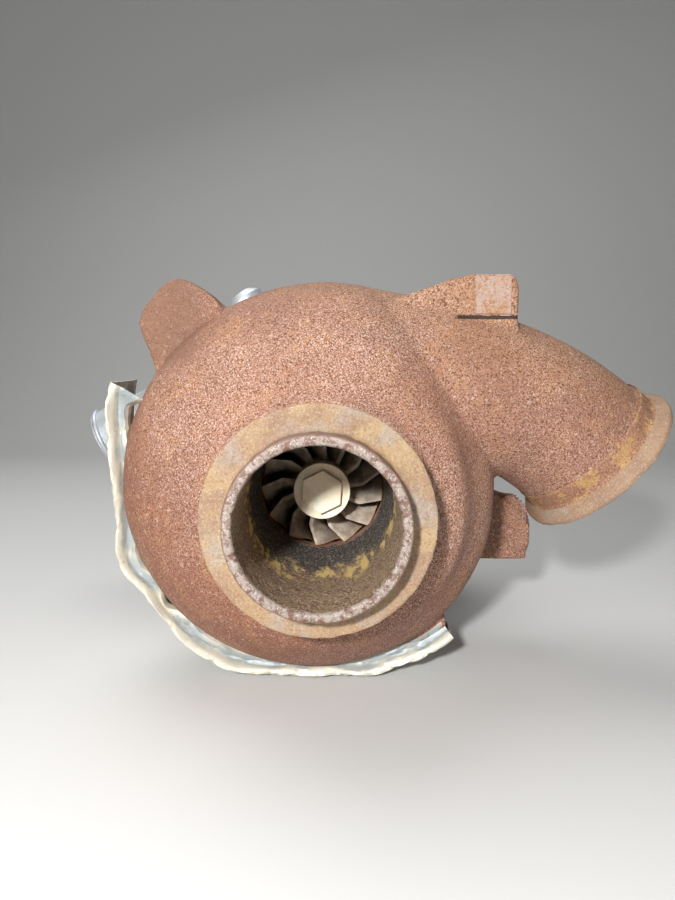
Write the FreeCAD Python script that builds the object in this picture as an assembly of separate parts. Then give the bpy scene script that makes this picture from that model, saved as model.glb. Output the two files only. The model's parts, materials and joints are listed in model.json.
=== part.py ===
import FreeCAD, Part
import math
import os

# Turbocharger with variable turbine vanes.  Millimetres.
# The shaft runs along +Y.  The exhaust outlet faces -Y, its flange plane is Y = 0.
# +X is to the right when looking at the outlet, +Z is up.
# An angle around the shaft is measured in the XZ plane, from +X towards +Z.

V = FreeCAD.Vector
SHAFT_AXIS = V(0, 1, 0)

# ---- fits and gaps -------------------------------------------------------
RUN_GAP = 0.06          # radial clearance of a running fit
SLIP_GAP = 0.03         # radial clearance of pieces slipped on one shaft
BOLT_GAP = 0.15         # radial clearance of a bolt in its hole
FREE_GAP = 0.3          # gap between faces that pass each other

# ---- turbine housing -----------------------------------------------------
OUTLET_FLANGE_R = 50.0
OUTLET_FLANGE_T = 7.0
PILOT_R = 38.7          # raised lip in front of the outlet flange
PILOT_L = 13.0
OUTLET_BORE_R = 33.6
NECK_R = 42.5
CASTING_WALL = 6.0
REAR_FACE_Y = 125.0     # joint face with the bearing housing
REAR_FLANGE_R = 87.0
SCROLL_BACK_Y = 111.5   # back of the gas passage, the same all the way round
SCROLL_TOP_R = 106.5    # outside radius at 80 degrees
SCROLL_LEFT_R = 104.0   # at 180 degrees
SCROLL_LOW_R = 94.0     # at 270 degrees
SCROLL_TAIL_R = 89.5    # at 360 degrees
SCROLL_START_A = 36.5   # outside radius of the scroll's section where it begins
SCROLL_TAIL_A = 20.0    # and where it ends
SCROLL_START = 77.0     # angles where the scroll begins and ends
SCROLL_END = 385.0
INLET_PIPE_R = 39.5
INLET_X = 147.0         # centre of the inlet flange's face
INLET_Z = 13.5
INLET_Y = 88.0
INLET_DROP = 43.0       # the inlet points this far below +X, degrees
INLET_FLANGE_R = 46.0
INLET_FLANGE_T = 8.0
INLET_COLLAR_STEP = 0.8 # the machined end stands this proud of the cast pipe
INLET_COLLAR_L = 17.0
LUG_T = 16.0
LUG_FRONT_Y = 66.0
TOP_RIGHT_LUG_Y = 60.0  # the machined pad stands further forward
UNDERCUT_H = 3.2        # slot below that pad
REAR_FLANGE_T = 11.0

# outlines of the lugs and the rear foot, as (x, z) corners
TOP_LEFT_LUG = ((-48, 84), (-51, 96), (-60, 103), (-68, 106.5), (-75, 105.5), (-82.5, 98.5),
                (-89, 90), (-90, 82), (-85.5, 71), (-83, 62), (-70, 60))
TOP_RIGHT_LUG = ((40, 70), (40, 98), (63, 106), (75, 108.5), (93, 108), (96, 103.5), (96, 70))
LOW_RIGHT_LUG = ((36, -66), (41, -78), (49, -80.5), (55, -84), (64, -76), (65, -69), (61, -60),
                 (50, -56))
REAR_FOOT = ((60, 6), (60, -50), (119, -50), (121.5, -39), (121, -18), (116, -12), (106, -11))

# ---- turbine wheel and vanes --------------------------------------------
TURBINE_BLADES = 13
EXDUCER_R = 32.2
INDUCER_R = 36.2
WHEEL_FRONT_Y = 83.0
WHEEL_BACK_Y = 112.0
WHEEL_NOSE_R = 14.5
WHEEL_NOSE_Y = 70.0
NOSE_HEX_AF = 19.5
VANES = 10
VANE_PIVOT_R = 52.0
VANE_CHORD = 22.0
VANE_ANGLE = 27.0       # between the chord and the tangent at mid travel
VANE_PIN_R = 2.4
VANE_ARM_L = 10.0
CHANNEL_FRONT_Y = 101.0
CHANNEL_BACK_Y = 112.0
CHANNEL_R = 63.5
NOZZLE_RING_T = 5.0
CHAMBER_R = 68.5        # bore behind the scroll for nozzle and unison rings
UNISON_RING_IN = 58.5
UNISON_RING_T = 3.0
ARM_TIP_R = 2.8
CRANK_ANGLE = 126.0
CRANK_SLOT_ROOM = 0.9   # the crank's peg moves this much further out than the levers' tips
SLOT_GAP = 0.2
CRANK_ARM_L = 9.3
CRANK_SHAFT_R = 4.0
CRANK_T = 3.4
PISTON_R = 9.0
PISTON_L = 46.0
PISTON_ARM_L = 12.0

# ---- bearing housing and shaft ------------------------------------------
SHAFT_R = 5.6
SHAFT_END_R = 4.0
BEARING_R = 8.8
BEARING_L = 12.0
BARREL_R = 38.0
BEARING_FLANGE_T = 8.0
BEARING_REAR_Y = 184.0
BEARING_REAR_R = 58.0
SEAL_HUB_R = 9.6
SEAL_RING_T = 1.6

# ---- compressor ----------------------------------------------------------
SEAL_PLATE_R = 72.0
SEAL_PLATE_BACK_Y = 196.0
SEAL_PLATE_RIM_Y = 186.0
COMPRESSOR_BLADES = 7
COMPRESSOR_R = 41.0
COMPRESSOR_IN_R = 29.0
COMPRESSOR_WHEEL_L = 31.5
COMPRESSOR_HUB_R = 10.0
AIR_SCROLL_R = 74.0     # centre line radius of the air scroll
AIR_SCROLL_SMALL = 6.0
AIR_SCROLL_LARGE = 16.0
AIR_WALL = 4.5
AIR_OUT_ANGLE = 114.0   # where the air outlet leaves the scroll
AIR_OUT_L = 140.0
AIR_INLET_R = 36.0
AIR_INLET_END_Y = 250.0

FLOOR_Z = -97.0         # lowest plane of the heat shield and of the support boss

# ---- heat shield ---------------------------------------------------------
SHIELD_T = 1.6
SHIELD_FRONT_Y = 60.0
SHIELD_BACK_Y = 106.0
SHIELD_HEM = 7.0
SHIELD_SCREW_ANGLES = (171.0, 214.0, 242.0)

# ---- bolts and screws of the turbine housing -----------------------------
HOUSING_BOLTS = 8
HOUSING_BOLT_R = 3.9
HOUSING_BOLT_PITCH_R = 76.5
HOUSING_BOLT_DEPTH = 8.0
SHIELD_SCREW_R = 2.4
SHIELD_SCREW_Y = 92.0
SHIELD_HEAD_R = 4.6
SHIELD_BOSS_R = 5.0

# ---- outlines by angle round the shaft -----------------------------------
SCROLL_RADII = (
    (SCROLL_START, SCROLL_TOP_R),
    (180.0, SCROLL_LEFT_R),
    (270.0, SCROLL_LOW_R),
    (360.0, SCROLL_TAIL_R),
    (SCROLL_END, SCROLL_TAIL_R),
)
DOME_RADII = (
    (0.0, 89.5), (30.0, 90.0), (52.0, 98.0), (SCROLL_START, SCROLL_TOP_R),
    (180.0, SCROLL_LEFT_R), (270.0, SCROLL_LOW_R), (360.0, SCROLL_TAIL_R),
)
SHIELD_RADII = (
    (151.5, 119.0), (162.0, 113.5), (175.0, 107.0), (188.0, 106.2), (200.0, 111.0),
    (209.0, 106.5), (220.0, 107.0), (231.0, 107.5), (243.0, 106.5), (253.0, 101.5),
    (270.0, 97.0), (285.0, 100.2), (297.0, 101.5), (305.0, 102.0), (312.0, 102.5),
)

# ---- places along the shaft, and small pieces ----------------------------
SEAL_HUB_END_Y = REAR_FACE_Y + 2
TURBINE_SEAL_Y = REAR_FACE_Y - 4.5
SHAFT_STEP_Y = 176.8
THRUST_WASHER_T = 1.6
THRUST_COLLAR_END_Y = 185.5
FLINGER_END_Y = SEAL_PLATE_BACK_Y + 0.6
COMPRESSOR_FRONT_Y = FLINGER_END_Y + COMPRESSOR_WHEEL_L
NUT_T = 8.0
SHAFT_END_Y = COMPRESSOR_FRONT_Y + NUT_T + 2
AIR_SEAL_Y = 191.0
FRONT_BEARING_Y = 135.0
REAR_BEARING_Y = 163.0
SNAP_RING_T = 1.2
CRANK_REAR_Y = REAR_FACE_Y + BEARING_FLANGE_T + 1.0
PISTON_Y = CRANK_REAR_Y + 3.6 + 10.0
BLOCK_HALF_L = 36.0
BLOCK_END_Y = PISTON_Y + PISTON_R + 7
CAP_T = 6.0
VALVE_R = 12.0
VALVE_OFFSET = 21.0
VALVE_TOP_R = 116.0
OIL_IN_ANGLE = 60.0
OIL_Y = 155.0
OIL_BOSS_TOP = 62.0
DRAIN_Z = -66.0
DRAIN_TOP_Z = -15.0     # the drain opens into the sump round the shaft
DRAIN_BORE_R = 11.0
SHROUD_T = 1.2
THRUST_R = 21.5
THRUST_Y = 179.0
THRUST_T = 3.4
OIL_THREAD_R = 5.5
DRAIN_BOLT_X = 25.5
DRAIN_HOLE_R = 4.2
SEAL_BOLT_R = 2.9
SEAL_BOLT_PITCH_R = 51.0
VALVE_SPOOL_R = 6.0
AIR_START = 140.0
AIR_END = AIR_OUT_ANGLE + 360
CLAMP_BOLTS = 6
CLAMP_BOLT_R = 2.9
CLAMP_PITCH_R = 80.0
JOINT_R = 88.0


# ---- helpers --------------------------------------------------------------
def at(angle, radius, y=0.0):
    """Point at an angle around the shaft."""
    a = math.radians(angle)
    return V(radius * math.cos(a), y, radius * math.sin(a))


def turned(shape, angle):
    """Copy turned about the shaft by an angle that grows from +X to +Z."""
    copy = shape.copy()
    copy.rotate(V(0, 0, 0), SHAFT_AXIS, -angle)
    return copy


def rod(radius, y0, y1, centre=V(0, 0, 0)):
    return Part.makeCylinder(radius, y1 - y0, V(centre.x, y0, centre.z), SHAFT_AXIS)


def tube(inner, outer, y0, y1):
    return rod(outer, y0, y1).cut(rod(inner, y0 - 1, y1 + 1))


def spun(*edges):
    """Solid of revolution about the shaft; points are (radius, y)."""
    made = []
    for points in edges:
        placed = [V(r, y, 0) for r, y in points]
        if len(placed) == 2:
            made.append(Part.makeLine(placed[0], placed[1]))
        else:
            curve = Part.BSplineCurve()
            curve.interpolate(placed)
            made.append(curve.toShape())
    face = Part.Face(Part.Wire(made))
    return face.revolve(V(0, 0, 0), SHAFT_AXIS, 360)


def spun_polygon(points):
    closed = list(points) + [points[0]]
    return spun(*[closed[i:i + 2] for i in range(len(points))])


def prism(points, y0, y1):
    """Closed outline in the XZ plane pushed from y0 to y1."""
    placed = [V(x, y0, z) for x, z in points]
    face = Part.Face(Part.makePolygon(placed + [placed[0]]))
    return face.extrude(V(0, y1 - y0, 0))


def hexagon(across_flats, y0, y1, centre=V(0, 0, 0), turn=0.0):
    corner = across_flats / math.sqrt(3)
    points = []
    for i in range(6):
        a = math.radians(60 * i + turn)
        points.append((centre.x + corner * math.cos(a), centre.z + corner * math.sin(a)))
    return prism(points, y0, y1)


def loft_of_circles(rings):
    """Smooth tube through (centre, direction, radius) rings."""
    wires = []
    for centre, direction, radius in rings:
        wires.append(Part.Wire(Part.Circle(centre, direction, radius).toShape()))
    return Part.makeLoft(wires, True, False)


def fused(shapes):
    body = shapes[0].multiFuse(list(shapes[1:]))
    return body.removeSplitter()


def blend(value, table):
    """Linear value between (key, value) pairs."""
    for (k0, v0), (k1, v1) in zip(table, table[1:]):
        if value <= k1:
            return v0 + (v1 - v0) * (value - k0) / (k1 - k0)
    return table[-1][1]


def bolt(shank_r, head_af, head_y, tip_y, head_t, centre):
    """Hexagon flange bolt whose head sits on the plane head_y."""
    side = -1 if tip_y > head_y else 1
    shank = rod(shank_r, min(head_y, tip_y), max(head_y, tip_y), centre)
    washer_y = head_y + side * 0.25 * head_t
    top_y = head_y + side * head_t
    washer = rod(head_af * 0.62, min(head_y, washer_y), max(head_y, washer_y), centre)
    head = hexagon(head_af, min(head_y, top_y), max(head_y, top_y), centre, 30)
    return fused([shank, washer, head])


# ---- turbine housing -----------------------------------------------------


def scroll_ring(angle, shrink):
    share = (angle - SCROLL_START) / (SCROLL_END - SCROLL_START)
    outer = SCROLL_START_A + (SCROLL_TAIL_A - SCROLL_START_A) * share
    radius = blend(angle, SCROLL_RADII) - outer
    y = SCROLL_BACK_Y - (outer - CASTING_WALL)
    along = at(angle + 90, 1)
    return at(angle, radius, y), along, outer - shrink


def inlet_rings(shrink):
    """Rings of the inlet pipe, from its flange to the top of the scroll."""
    down = math.radians(INLET_DROP)
    out = V(math.cos(down), 0.1, -math.sin(down))
    mouth = V(INLET_X, INLET_Y, INLET_Z)
    start, start_along, start_r = scroll_ring(SCROLL_START, 0)
    rings = [(mouth, -out, INLET_PIPE_R - shrink)]
    steps = 5
    reach = start.sub(mouth).Length
    ahead = mouth.sub(out * (0.42 * reach))
    behind = start.sub(start_along * (0.36 * reach))
    for i in range(1, steps):
        t = i / steps
        s = 1 - t
        centre = (mouth * s**3 + ahead * (3 * s * s * t)
                  + behind * (3 * s * t * t) + start * t**3)
        along = ((ahead.sub(mouth)) * (s * s) + (behind.sub(ahead)) * (2 * s * t)
                 + (start.sub(behind)) * (t * t))
        along.normalize()
        rings.append((centre, along, INLET_PIPE_R + (start_r - INLET_PIPE_R) * t - shrink))
    return rings


def gas_way(shrink):
    angles = [SCROLL_START + (SCROLL_END - SCROLL_START) * i / 11 for i in range(12)]
    first = loft_of_circles(inlet_rings(shrink) + [scroll_ring(angles[0], shrink)])
    rest = loft_of_circles([scroll_ring(a, shrink) for a in angles])
    return first, rest


def dome_section(angle):
    """Outline of the domed body in the half plane at an angle round the shaft."""
    reach = blend(angle, DOME_RADII)
    front = [(NECK_R - 1.5, OUTLET_FLANGE_T + 3), (NECK_R + 1.5, 16), (53, 23.5), (66, 30),
             (0.80 * reach, 40), (0.945 * reach, 58), (reach, 83), (reach - 2.5, 102),
             (reach - 12, 115)]
    curve = Part.BSplineCurve()
    curve.interpolate([at(angle, r, y) for r, y in front])
    corners = [front[-1], (NECK_R - 1.5, 115), front[0]]
    edges = [curve.toShape()]
    for start, end in zip(corners, corners[1:]):
        edges.append(Part.makeLine(at(angle, *start), at(angle, *end)))
    return Part.Wire(edges)


def dome_halves():
    """Two lofts that meet in the planes at 0 and 180 degrees."""
    halves = []
    for first in (0, 180):
        sections = [dome_section(first + 180 * i / 9) for i in range(10)]
        halves.append(Part.makeLoft(sections, True, False))
    return halves


def inlet_frame():
    down = math.radians(INLET_DROP)
    out = V(math.cos(down), 0.1, -math.sin(down))
    out.normalize()
    return V(INLET_X, INLET_Y, INLET_Z), out


def lug_blank(points, y0, y1):
    curve = Part.BSplineCurve()
    curve.interpolate([V(x, y0, z) for x, z in points], True)
    return Part.Face(Part.Wire(curve.toShape())).extrude(V(0, y1 - y0, 0))


def make_turbine_housing():
    pipe, scroll = gas_way(0)
    flange_and_neck = spun_polygon([(0, 0), (OUTLET_FLANGE_R, 0), (OUTLET_FLANGE_R, 2.5),
                                    (NECK_R, OUTLET_FLANGE_T + 2), (NECK_R, 20), (0, 20)])
    core = rod(NECK_R + 8, 20, REAR_FACE_Y)
    lip = rod(PILOT_R, -PILOT_L, 1)
    rear_flange = rod(REAR_FLANGE_R, REAR_FACE_Y - REAR_FLANGE_T, REAR_FACE_Y)
    mouth, out = inlet_frame()
    collar_r = INLET_PIPE_R + INLET_COLLAR_STEP
    collar = Part.makeCylinder(collar_r, INLET_COLLAR_L, mouth - out * INLET_COLLAR_L, out)
    slope_t = INLET_FLANGE_T - 3
    flange = Part.makeCone(collar_r, INLET_FLANGE_R, slope_t, mouth - out * INLET_FLANGE_T, out)
    rim = Part.makeCylinder(INLET_FLANGE_R, 3, mouth - out * 3, out)
    top_left = lug_blank(TOP_LEFT_LUG, LUG_FRONT_Y, LUG_FRONT_Y + LUG_T)
    top_right = prism(TOP_RIGHT_LUG, TOP_RIGHT_LUG_Y, TOP_RIGHT_LUG_Y + 2 * LUG_T)
    low_right = lug_blank(LOW_RIGHT_LUG, LUG_FRONT_Y, LUG_FRONT_Y + LUG_T)
    foot = prism(REAR_FOOT, REAR_FACE_Y - REAR_FLANGE_T, REAR_FACE_Y)
    bosses = []
    for angle in SHIELD_SCREW_ANGLES:
        foot_r = blend(angle, SCROLL_RADII) - 8
        length = shield_radius(angle) - SHIELD_T - FREE_GAP - foot_r
        bosses.append(Part.makeCylinder(SHIELD_BOSS_R, length, at(angle, foot_r, SHIELD_SCREW_Y),
                                        at(angle, 1)))
    body = fused([flange_and_neck, core, scroll, pipe, lip, rear_flange, collar, flange, rim,
                  top_left, top_right, low_right, foot] + dome_halves() + bosses)

    body = body.cut(shield_band(SHIELD_T + FREE_GAP, SHIELD_FRONT_Y - 1, SHIELD_BACK_Y + 1, 14))
    body = body.cut(shield_band(SHIELD_HEM + FREE_GAP, SHIELD_FRONT_Y - FREE_GAP,
                                SHIELD_FRONT_Y + SHIELD_T + FREE_GAP, 14))

    # the undercut behind the machined pad of the upper right lug
    body = body.cut(Part.makeBox(36, 12, UNDERCUT_H, V(66, TOP_RIGHT_LUG_Y - 2, 86)))

    inner_pipe, inner_scroll = gas_way(CASTING_WALL)
    shroud_core = spun_polygon([(0, 30), (46, 30), (46, 78), (61, 93), (61, CHANNEL_FRONT_Y),
                                (0, CHANNEL_FRONT_Y)])
    behind = rod(SCROLL_TOP_R + 6, SCROLL_BACK_Y, REAR_FACE_Y + 5)
    inner_scroll = inner_scroll.cut(shroud_core).cut(behind)
    inner_pipe = inner_pipe.cut(shroud_core)
    mouth_bore = Part.makeCylinder(INLET_PIPE_R - CASTING_WALL + INLET_COLLAR_STEP,
                                   INLET_COLLAR_L, mouth - out * (INLET_COLLAR_L - 1), out)
    channel = tube(INDUCER_R - 1, CHANNEL_R, CHANNEL_FRONT_Y, CHANNEL_BACK_Y + 0.5)
    chamber = rod(CHAMBER_R, CHANNEL_BACK_Y, REAR_FACE_Y + 1)
    exit_way = spun(
        [(0, -PILOT_L - 1), (OUTLET_BORE_R, -PILOT_L - 1)],
        [(OUTLET_BORE_R, -PILOT_L - 1), (OUTLET_BORE_R, 10)],
        [(OUTLET_BORE_R, 10), (OUTLET_BORE_R + 1.2, 38), (EXDUCER_R + 1.4, 70),
         (EXDUCER_R + 0.5, WHEEL_FRONT_Y - 2)],
        [(EXDUCER_R + 0.5, WHEEL_FRONT_Y - 2), (EXDUCER_R + 0.5, WHEEL_FRONT_Y + 5),
         (EXDUCER_R + 1.6, WHEEL_FRONT_Y + 12), (INDUCER_R + 0.5, CHANNEL_FRONT_Y - 1)],
        [(INDUCER_R + 0.5, CHANNEL_FRONT_Y - 1), (INDUCER_R + 0.5, REAR_FACE_Y + 1)],
        [(INDUCER_R + 0.5, REAR_FACE_Y + 1), (0, REAR_FACE_Y + 1)],
        [(0, REAR_FACE_Y + 1), (0, -PILOT_L - 1)],
    )
    pocket = turned(prism([(CHAMBER_R - 8, -9), (79.5, -9), (79.5, 9), (CHAMBER_R - 8, 9)],
                          REAR_FACE_Y - 5, REAR_FACE_Y + 1), CRANK_ANGLE)
    body = body.cut(inner_pipe).cut(inner_scroll).cut(mouth_bore)
    body = body.cut(channel).cut(chamber).cut(exit_way).cut(pocket)
    for angle in housing_bolt_angles():
        body = body.cut(rod(HOUSING_BOLT_R + BOLT_GAP, REAR_FACE_Y - HOUSING_BOLT_DEPTH - 1,
                            REAR_FACE_Y + 1, at(angle, HOUSING_BOLT_PITCH_R)))
    for angle in SHIELD_SCREW_ANGLES:
        top = shield_radius(angle)
        body = body.cut(Part.makeCylinder(SHIELD_SCREW_R + BOLT_GAP, 11,
                                          at(angle, top - 11, SHIELD_SCREW_Y), at(angle, 1)))
    return body


def housing_bolt_angles():
    return [CRANK_ANGLE + 360 / HOUSING_BOLTS * (i + 0.5) for i in range(HOUSING_BOLTS)]


def make_housing_bolts():
    head_y = REAR_FACE_Y + BEARING_FLANGE_T
    return [bolt(HOUSING_BOLT_R, 12, head_y, REAR_FACE_Y - HOUSING_BOLT_DEPTH, 6,
                 at(angle, HOUSING_BOLT_PITCH_R)) for angle in housing_bolt_angles()]


# ---- heat shield ---------------------------------------------------------


def shield_curve(inset, y):
    curve = Part.BSplineCurve()
    curve.interpolate([at(angle, radius - inset, y) for angle, radius in SHIELD_RADII])
    return curve


def shield_radius(angle):
    """Radius of the shield's outside, found on its curve by halving."""
    curve = shield_curve(0, 0)
    low, high = curve.FirstParameter, curve.LastParameter
    for _ in range(40):
        middle = (low + high) / 2
        spot = curve.value(middle)
        if math.degrees(math.atan2(spot.z, spot.x)) % 360 < angle:
            low = middle
        else:
            high = middle
    return math.hypot(spot.x, spot.z)


def shield_band(inset, y0, y1, outset=0.0):
    """Strip that follows the shield's outline, pushed from y0 to y1."""
    outer = shield_curve(-outset, y0)
    inner = shield_curve(inset, y0)
    ends = [Part.makeLine(outer.value(outer.FirstParameter), inner.value(inner.FirstParameter)),
            Part.makeLine(outer.value(outer.LastParameter), inner.value(inner.LastParameter))]
    loop = Part.Wire(Part.__sortEdges__([outer.toShape(), inner.toShape()] + ends))
    return Part.Face(loop).extrude(V(0, y1 - y0, 0))


def make_heat_shield():
    band = shield_band(SHIELD_T, SHIELD_FRONT_Y, SHIELD_BACK_Y)
    hem = shield_band(SHIELD_HEM, SHIELD_FRONT_Y, SHIELD_FRONT_Y + SHIELD_T)
    below = Part.makeBox(400, 200, 60, V(-200, 0, FLOOR_Z - 60))
    sheet = fused([band, hem]).cut(below)
    for angle in SHIELD_SCREW_ANGLES:
        sheet = sheet.cut(Part.makeCylinder(SHIELD_SCREW_R + BOLT_GAP, 20,
                                            at(angle, shield_radius(angle) - 10,
                                               SHIELD_SCREW_Y),
                                            at(angle, 1)))
        seat = at(angle, shield_radius(angle), SHIELD_SCREW_Y)
        sheet = sheet.cut(Part.makeCylinder(SHIELD_HEAD_R + FREE_GAP, 8, seat, at(angle, 1)))
    return sheet


def make_shield_screws():
    screws = []
    for angle in SHIELD_SCREW_ANGLES:
        base = shield_radius(angle) + 0.2
        shank = Part.makeCylinder(SHIELD_SCREW_R, 9, at(angle, base - 9, SHIELD_SCREW_Y),
                                  at(angle, 1))
        head = Part.makeCylinder(SHIELD_HEAD_R, 2.6, at(angle, base, SHIELD_SCREW_Y), at(angle, 1))
        screws.append(fused([shank, head]))
    return screws


# ---- rotor ---------------------------------------------------------------
def blade(stations, turns, lean, root_t, tip_t):
    """One blade lofted through (y, root radius, tip radius) stations."""
    wires = []
    for (y, root, tip), turn in zip(stations, turns):
        near, far = [], []
        for share in (0.0, 0.5, 1.0):
            radius = root + (tip - root) * share
            half = 0.5 * (root_t + (tip_t - root_t) * share)
            spread = math.degrees(half / radius)
            angle = turn + lean * share * share
            near.append(at(angle - spread, radius, y))
            far.append(at(angle + spread, radius, y))
        ring = near + far[::-1]
        wires.append(Part.makePolygon(ring + [ring[0]]))
    return Part.makeLoft(wires, True, False)


def make_turbine_wheel():
    tip = EXDUCER_R
    stations = [
        (WHEEL_FRONT_Y, WHEEL_NOSE_R - 3, tip),
        (WHEEL_FRONT_Y + 6, WHEEL_NOSE_R - 2, tip),
        (WHEEL_FRONT_Y + 12, WHEEL_NOSE_R - 1, tip + 0.8),
        (CHANNEL_FRONT_Y, WHEEL_NOSE_R + 3, INDUCER_R),
        (WHEEL_BACK_Y, INDUCER_R - 9, INDUCER_R),
    ]
    first = blade(stations, (0, 11, 19, 25, 27), 15, 2.4, 1.1)
    hub = spun(
        [(0, WHEEL_NOSE_Y), (WHEEL_NOSE_R, WHEEL_NOSE_Y)],
        [(WHEEL_NOSE_R, WHEEL_NOSE_Y), (WHEEL_NOSE_R, WHEEL_FRONT_Y)],
        [(WHEEL_NOSE_R, WHEEL_FRONT_Y), (WHEEL_NOSE_R + 0.8, WHEEL_FRONT_Y + 10),
         (WHEEL_NOSE_R + 6, CHANNEL_FRONT_Y + 2), (INDUCER_R - 1.5, WHEEL_BACK_Y)],
        [(INDUCER_R - 1.5, WHEEL_BACK_Y), (INDUCER_R - 1.5, WHEEL_BACK_Y + 1.6)],
        [(INDUCER_R - 1.5, WHEEL_BACK_Y + 1.6), (SEAL_HUB_R, WHEEL_BACK_Y + 3.5)],
        [(SEAL_HUB_R, WHEEL_BACK_Y + 3.5), (0, WHEEL_BACK_Y + 3.5)],
        [(0, WHEEL_BACK_Y + 3.5), (0, WHEEL_NOSE_Y)],
    )
    blades = [turned(first, 360 / TURBINE_BLADES * i) for i in range(TURBINE_BLADES)]
    nose = hexagon(NOSE_HEX_AF, WHEEL_NOSE_Y - 3.5, WHEEL_NOSE_Y + 1, turn=26)
    seal_hub = rod(SEAL_HUB_R, WHEEL_BACK_Y + 3, SEAL_HUB_END_Y)
    shaft = rod(SHAFT_R, SEAL_HUB_END_Y - 1, SHAFT_STEP_Y)
    shaft_end = rod(SHAFT_END_R, SHAFT_STEP_Y - 1, SHAFT_END_Y)
    envelope = spun_polygon([(0, WHEEL_NOSE_Y - 5), (EXDUCER_R, WHEEL_NOSE_Y - 5),
                             (EXDUCER_R, WHEEL_FRONT_Y + 5), (EXDUCER_R + 1.0, WHEEL_FRONT_Y + 12),
                             (INDUCER_R, CHANNEL_FRONT_Y - 1), (INDUCER_R, SHAFT_END_Y + 1),
                             (0, SHAFT_END_Y + 1)])
    wheel = fused([hub, nose, seal_hub, shaft, shaft_end] + blades).common(envelope)
    groove = tube(SEAL_HUB_R - 2.0, SEAL_HUB_R + 1, TURBINE_SEAL_Y - 0.2,
                  TURBINE_SEAL_Y + SEAL_RING_T + 0.2)
    return wheel.cut(groove)


def make_compressor_wheel():
    back = FLINGER_END_Y
    front = COMPRESSOR_FRONT_Y
    stations = [
        (front - 1.5, COMPRESSOR_HUB_R - 3, COMPRESSOR_IN_R),
        (front - 9, COMPRESSOR_HUB_R - 2, COMPRESSOR_IN_R + 0.6),
        (front - 18, COMPRESSOR_HUB_R + 1, COMPRESSOR_IN_R + 4),
        (back + 6, COMPRESSOR_HUB_R + 7, COMPRESSOR_R - 1.2),
        (back + 1.5, COMPRESSOR_R - 9, COMPRESSOR_R),
    ]
    full = blade(stations, (0, 22, 40, 56, 60), 0, 2.0, 0.9)
    short = blade(stations[1:], (22, 40, 56, 60), 0, 2.0, 0.9)
    pitch = 360 / COMPRESSOR_BLADES
    blades = [turned(full, pitch * i) for i in range(COMPRESSOR_BLADES)]
    blades += [turned(short, pitch * (i + 0.5)) for i in range(COMPRESSOR_BLADES)]
    hub = spun(
        [(0, back), (COMPRESSOR_R, back)],
        [(COMPRESSOR_R, back), (COMPRESSOR_R, back + 1.4)],
        [(COMPRESSOR_R, back + 1.4), (27, back + 5), (COMPRESSOR_HUB_R + 3, back + 14),
         (COMPRESSOR_HUB_R, front - 4), (COMPRESSOR_HUB_R - 1, front)],
        [(COMPRESSOR_HUB_R - 1, front), (0, front)],
        [(0, front), (0, back)],
    )
    envelope = spun_polygon([(0, back), (COMPRESSOR_R, back), (COMPRESSOR_R, back + 5),
                             (COMPRESSOR_R - 2.5, back + 8), (COMPRESSOR_IN_R + 3.6, back + 15),
                             (COMPRESSOR_IN_R + 0.3, back + 23), (COMPRESSOR_IN_R, front),
                             (0, front)])
    wheel = fused([hub] + blades).common(envelope)
    return wheel.cut(rod(SHAFT_END_R + SLIP_GAP, back - 1, front + 1))


def make_shaft_nut():
    y0 = COMPRESSOR_FRONT_Y
    nut = hexagon(14, y0, y0 + NUT_T).common(
        spun_polygon([(0, y0), (8.2, y0), (8.2, y0 + NUT_T - 1), (7, y0 + NUT_T),
                      (0, y0 + NUT_T)]))
    return nut.cut(rod(SHAFT_END_R + SLIP_GAP, y0 - 1, y0 + NUT_T + 1))


def make_thrust_collar():
    sleeve = tube(SHAFT_END_R + SLIP_GAP, 7.6, SHAFT_STEP_Y + THRUST_WASHER_T, 183)
    collar = tube(SHAFT_END_R + SLIP_GAP, 12, 183, THRUST_COLLAR_END_Y)
    return fused([sleeve, collar])


def make_oil_flinger():
    sleeve = tube(SHAFT_END_R + SLIP_GAP, SEAL_HUB_R, THRUST_COLLAR_END_Y, FLINGER_END_Y)
    slinger = tube(SHAFT_END_R + SLIP_GAP, 14, THRUST_COLLAR_END_Y, THRUST_COLLAR_END_Y + 1.5)
    groove = tube(SEAL_HUB_R - 2.0, SEAL_HUB_R + 1, AIR_SEAL_Y - 0.2,
                  AIR_SEAL_Y + SEAL_RING_T + 0.2)
    return fused([sleeve, slinger]).cut(groove)


def make_seal_ring(y):
    """Split ring that springs against its bore and stands still."""
    ring = tube(SEAL_HUB_R - 1.6, SEAL_HUB_R + FREE_GAP - 0.02, y, y + SEAL_RING_T)
    return ring.cut(Part.makeBox(4, 3, 0.8, V(SEAL_HUB_R - 3, y - 0.5, -0.4)))


# ---- bearings ------------------------------------------------------------


def make_journal_bearing(y):
    body = tube(SHAFT_R + RUN_GAP, BEARING_R, y, y + BEARING_L)
    middle = y + BEARING_L / 2
    for i in range(6):
        body = body.cut(Part.makeCylinder(1.0, BEARING_R + 2, V(0, middle, 0), at(60 * i + 15, 1)))
    return body


def snap_ring_places():
    gap = FREE_GAP
    places = []
    for y in (FRONT_BEARING_Y, REAR_BEARING_Y):
        places += [y - gap - SNAP_RING_T, y + BEARING_L + gap]
    return places


def make_snap_rings():
    rings = []
    for y in snap_ring_places():
        ring = tube(BEARING_R - 1.5, BEARING_R + 0.9, y, y + SNAP_RING_T)
        rings.append(ring.cut(Part.makeBox(12, 4, 4, V(4, y - 1, -2))))
    return rings


# ---- vanes and their drive -----------------------------------------------
def vane_angles():
    return [360 / VANES * i for i in range(VANES)]


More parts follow.
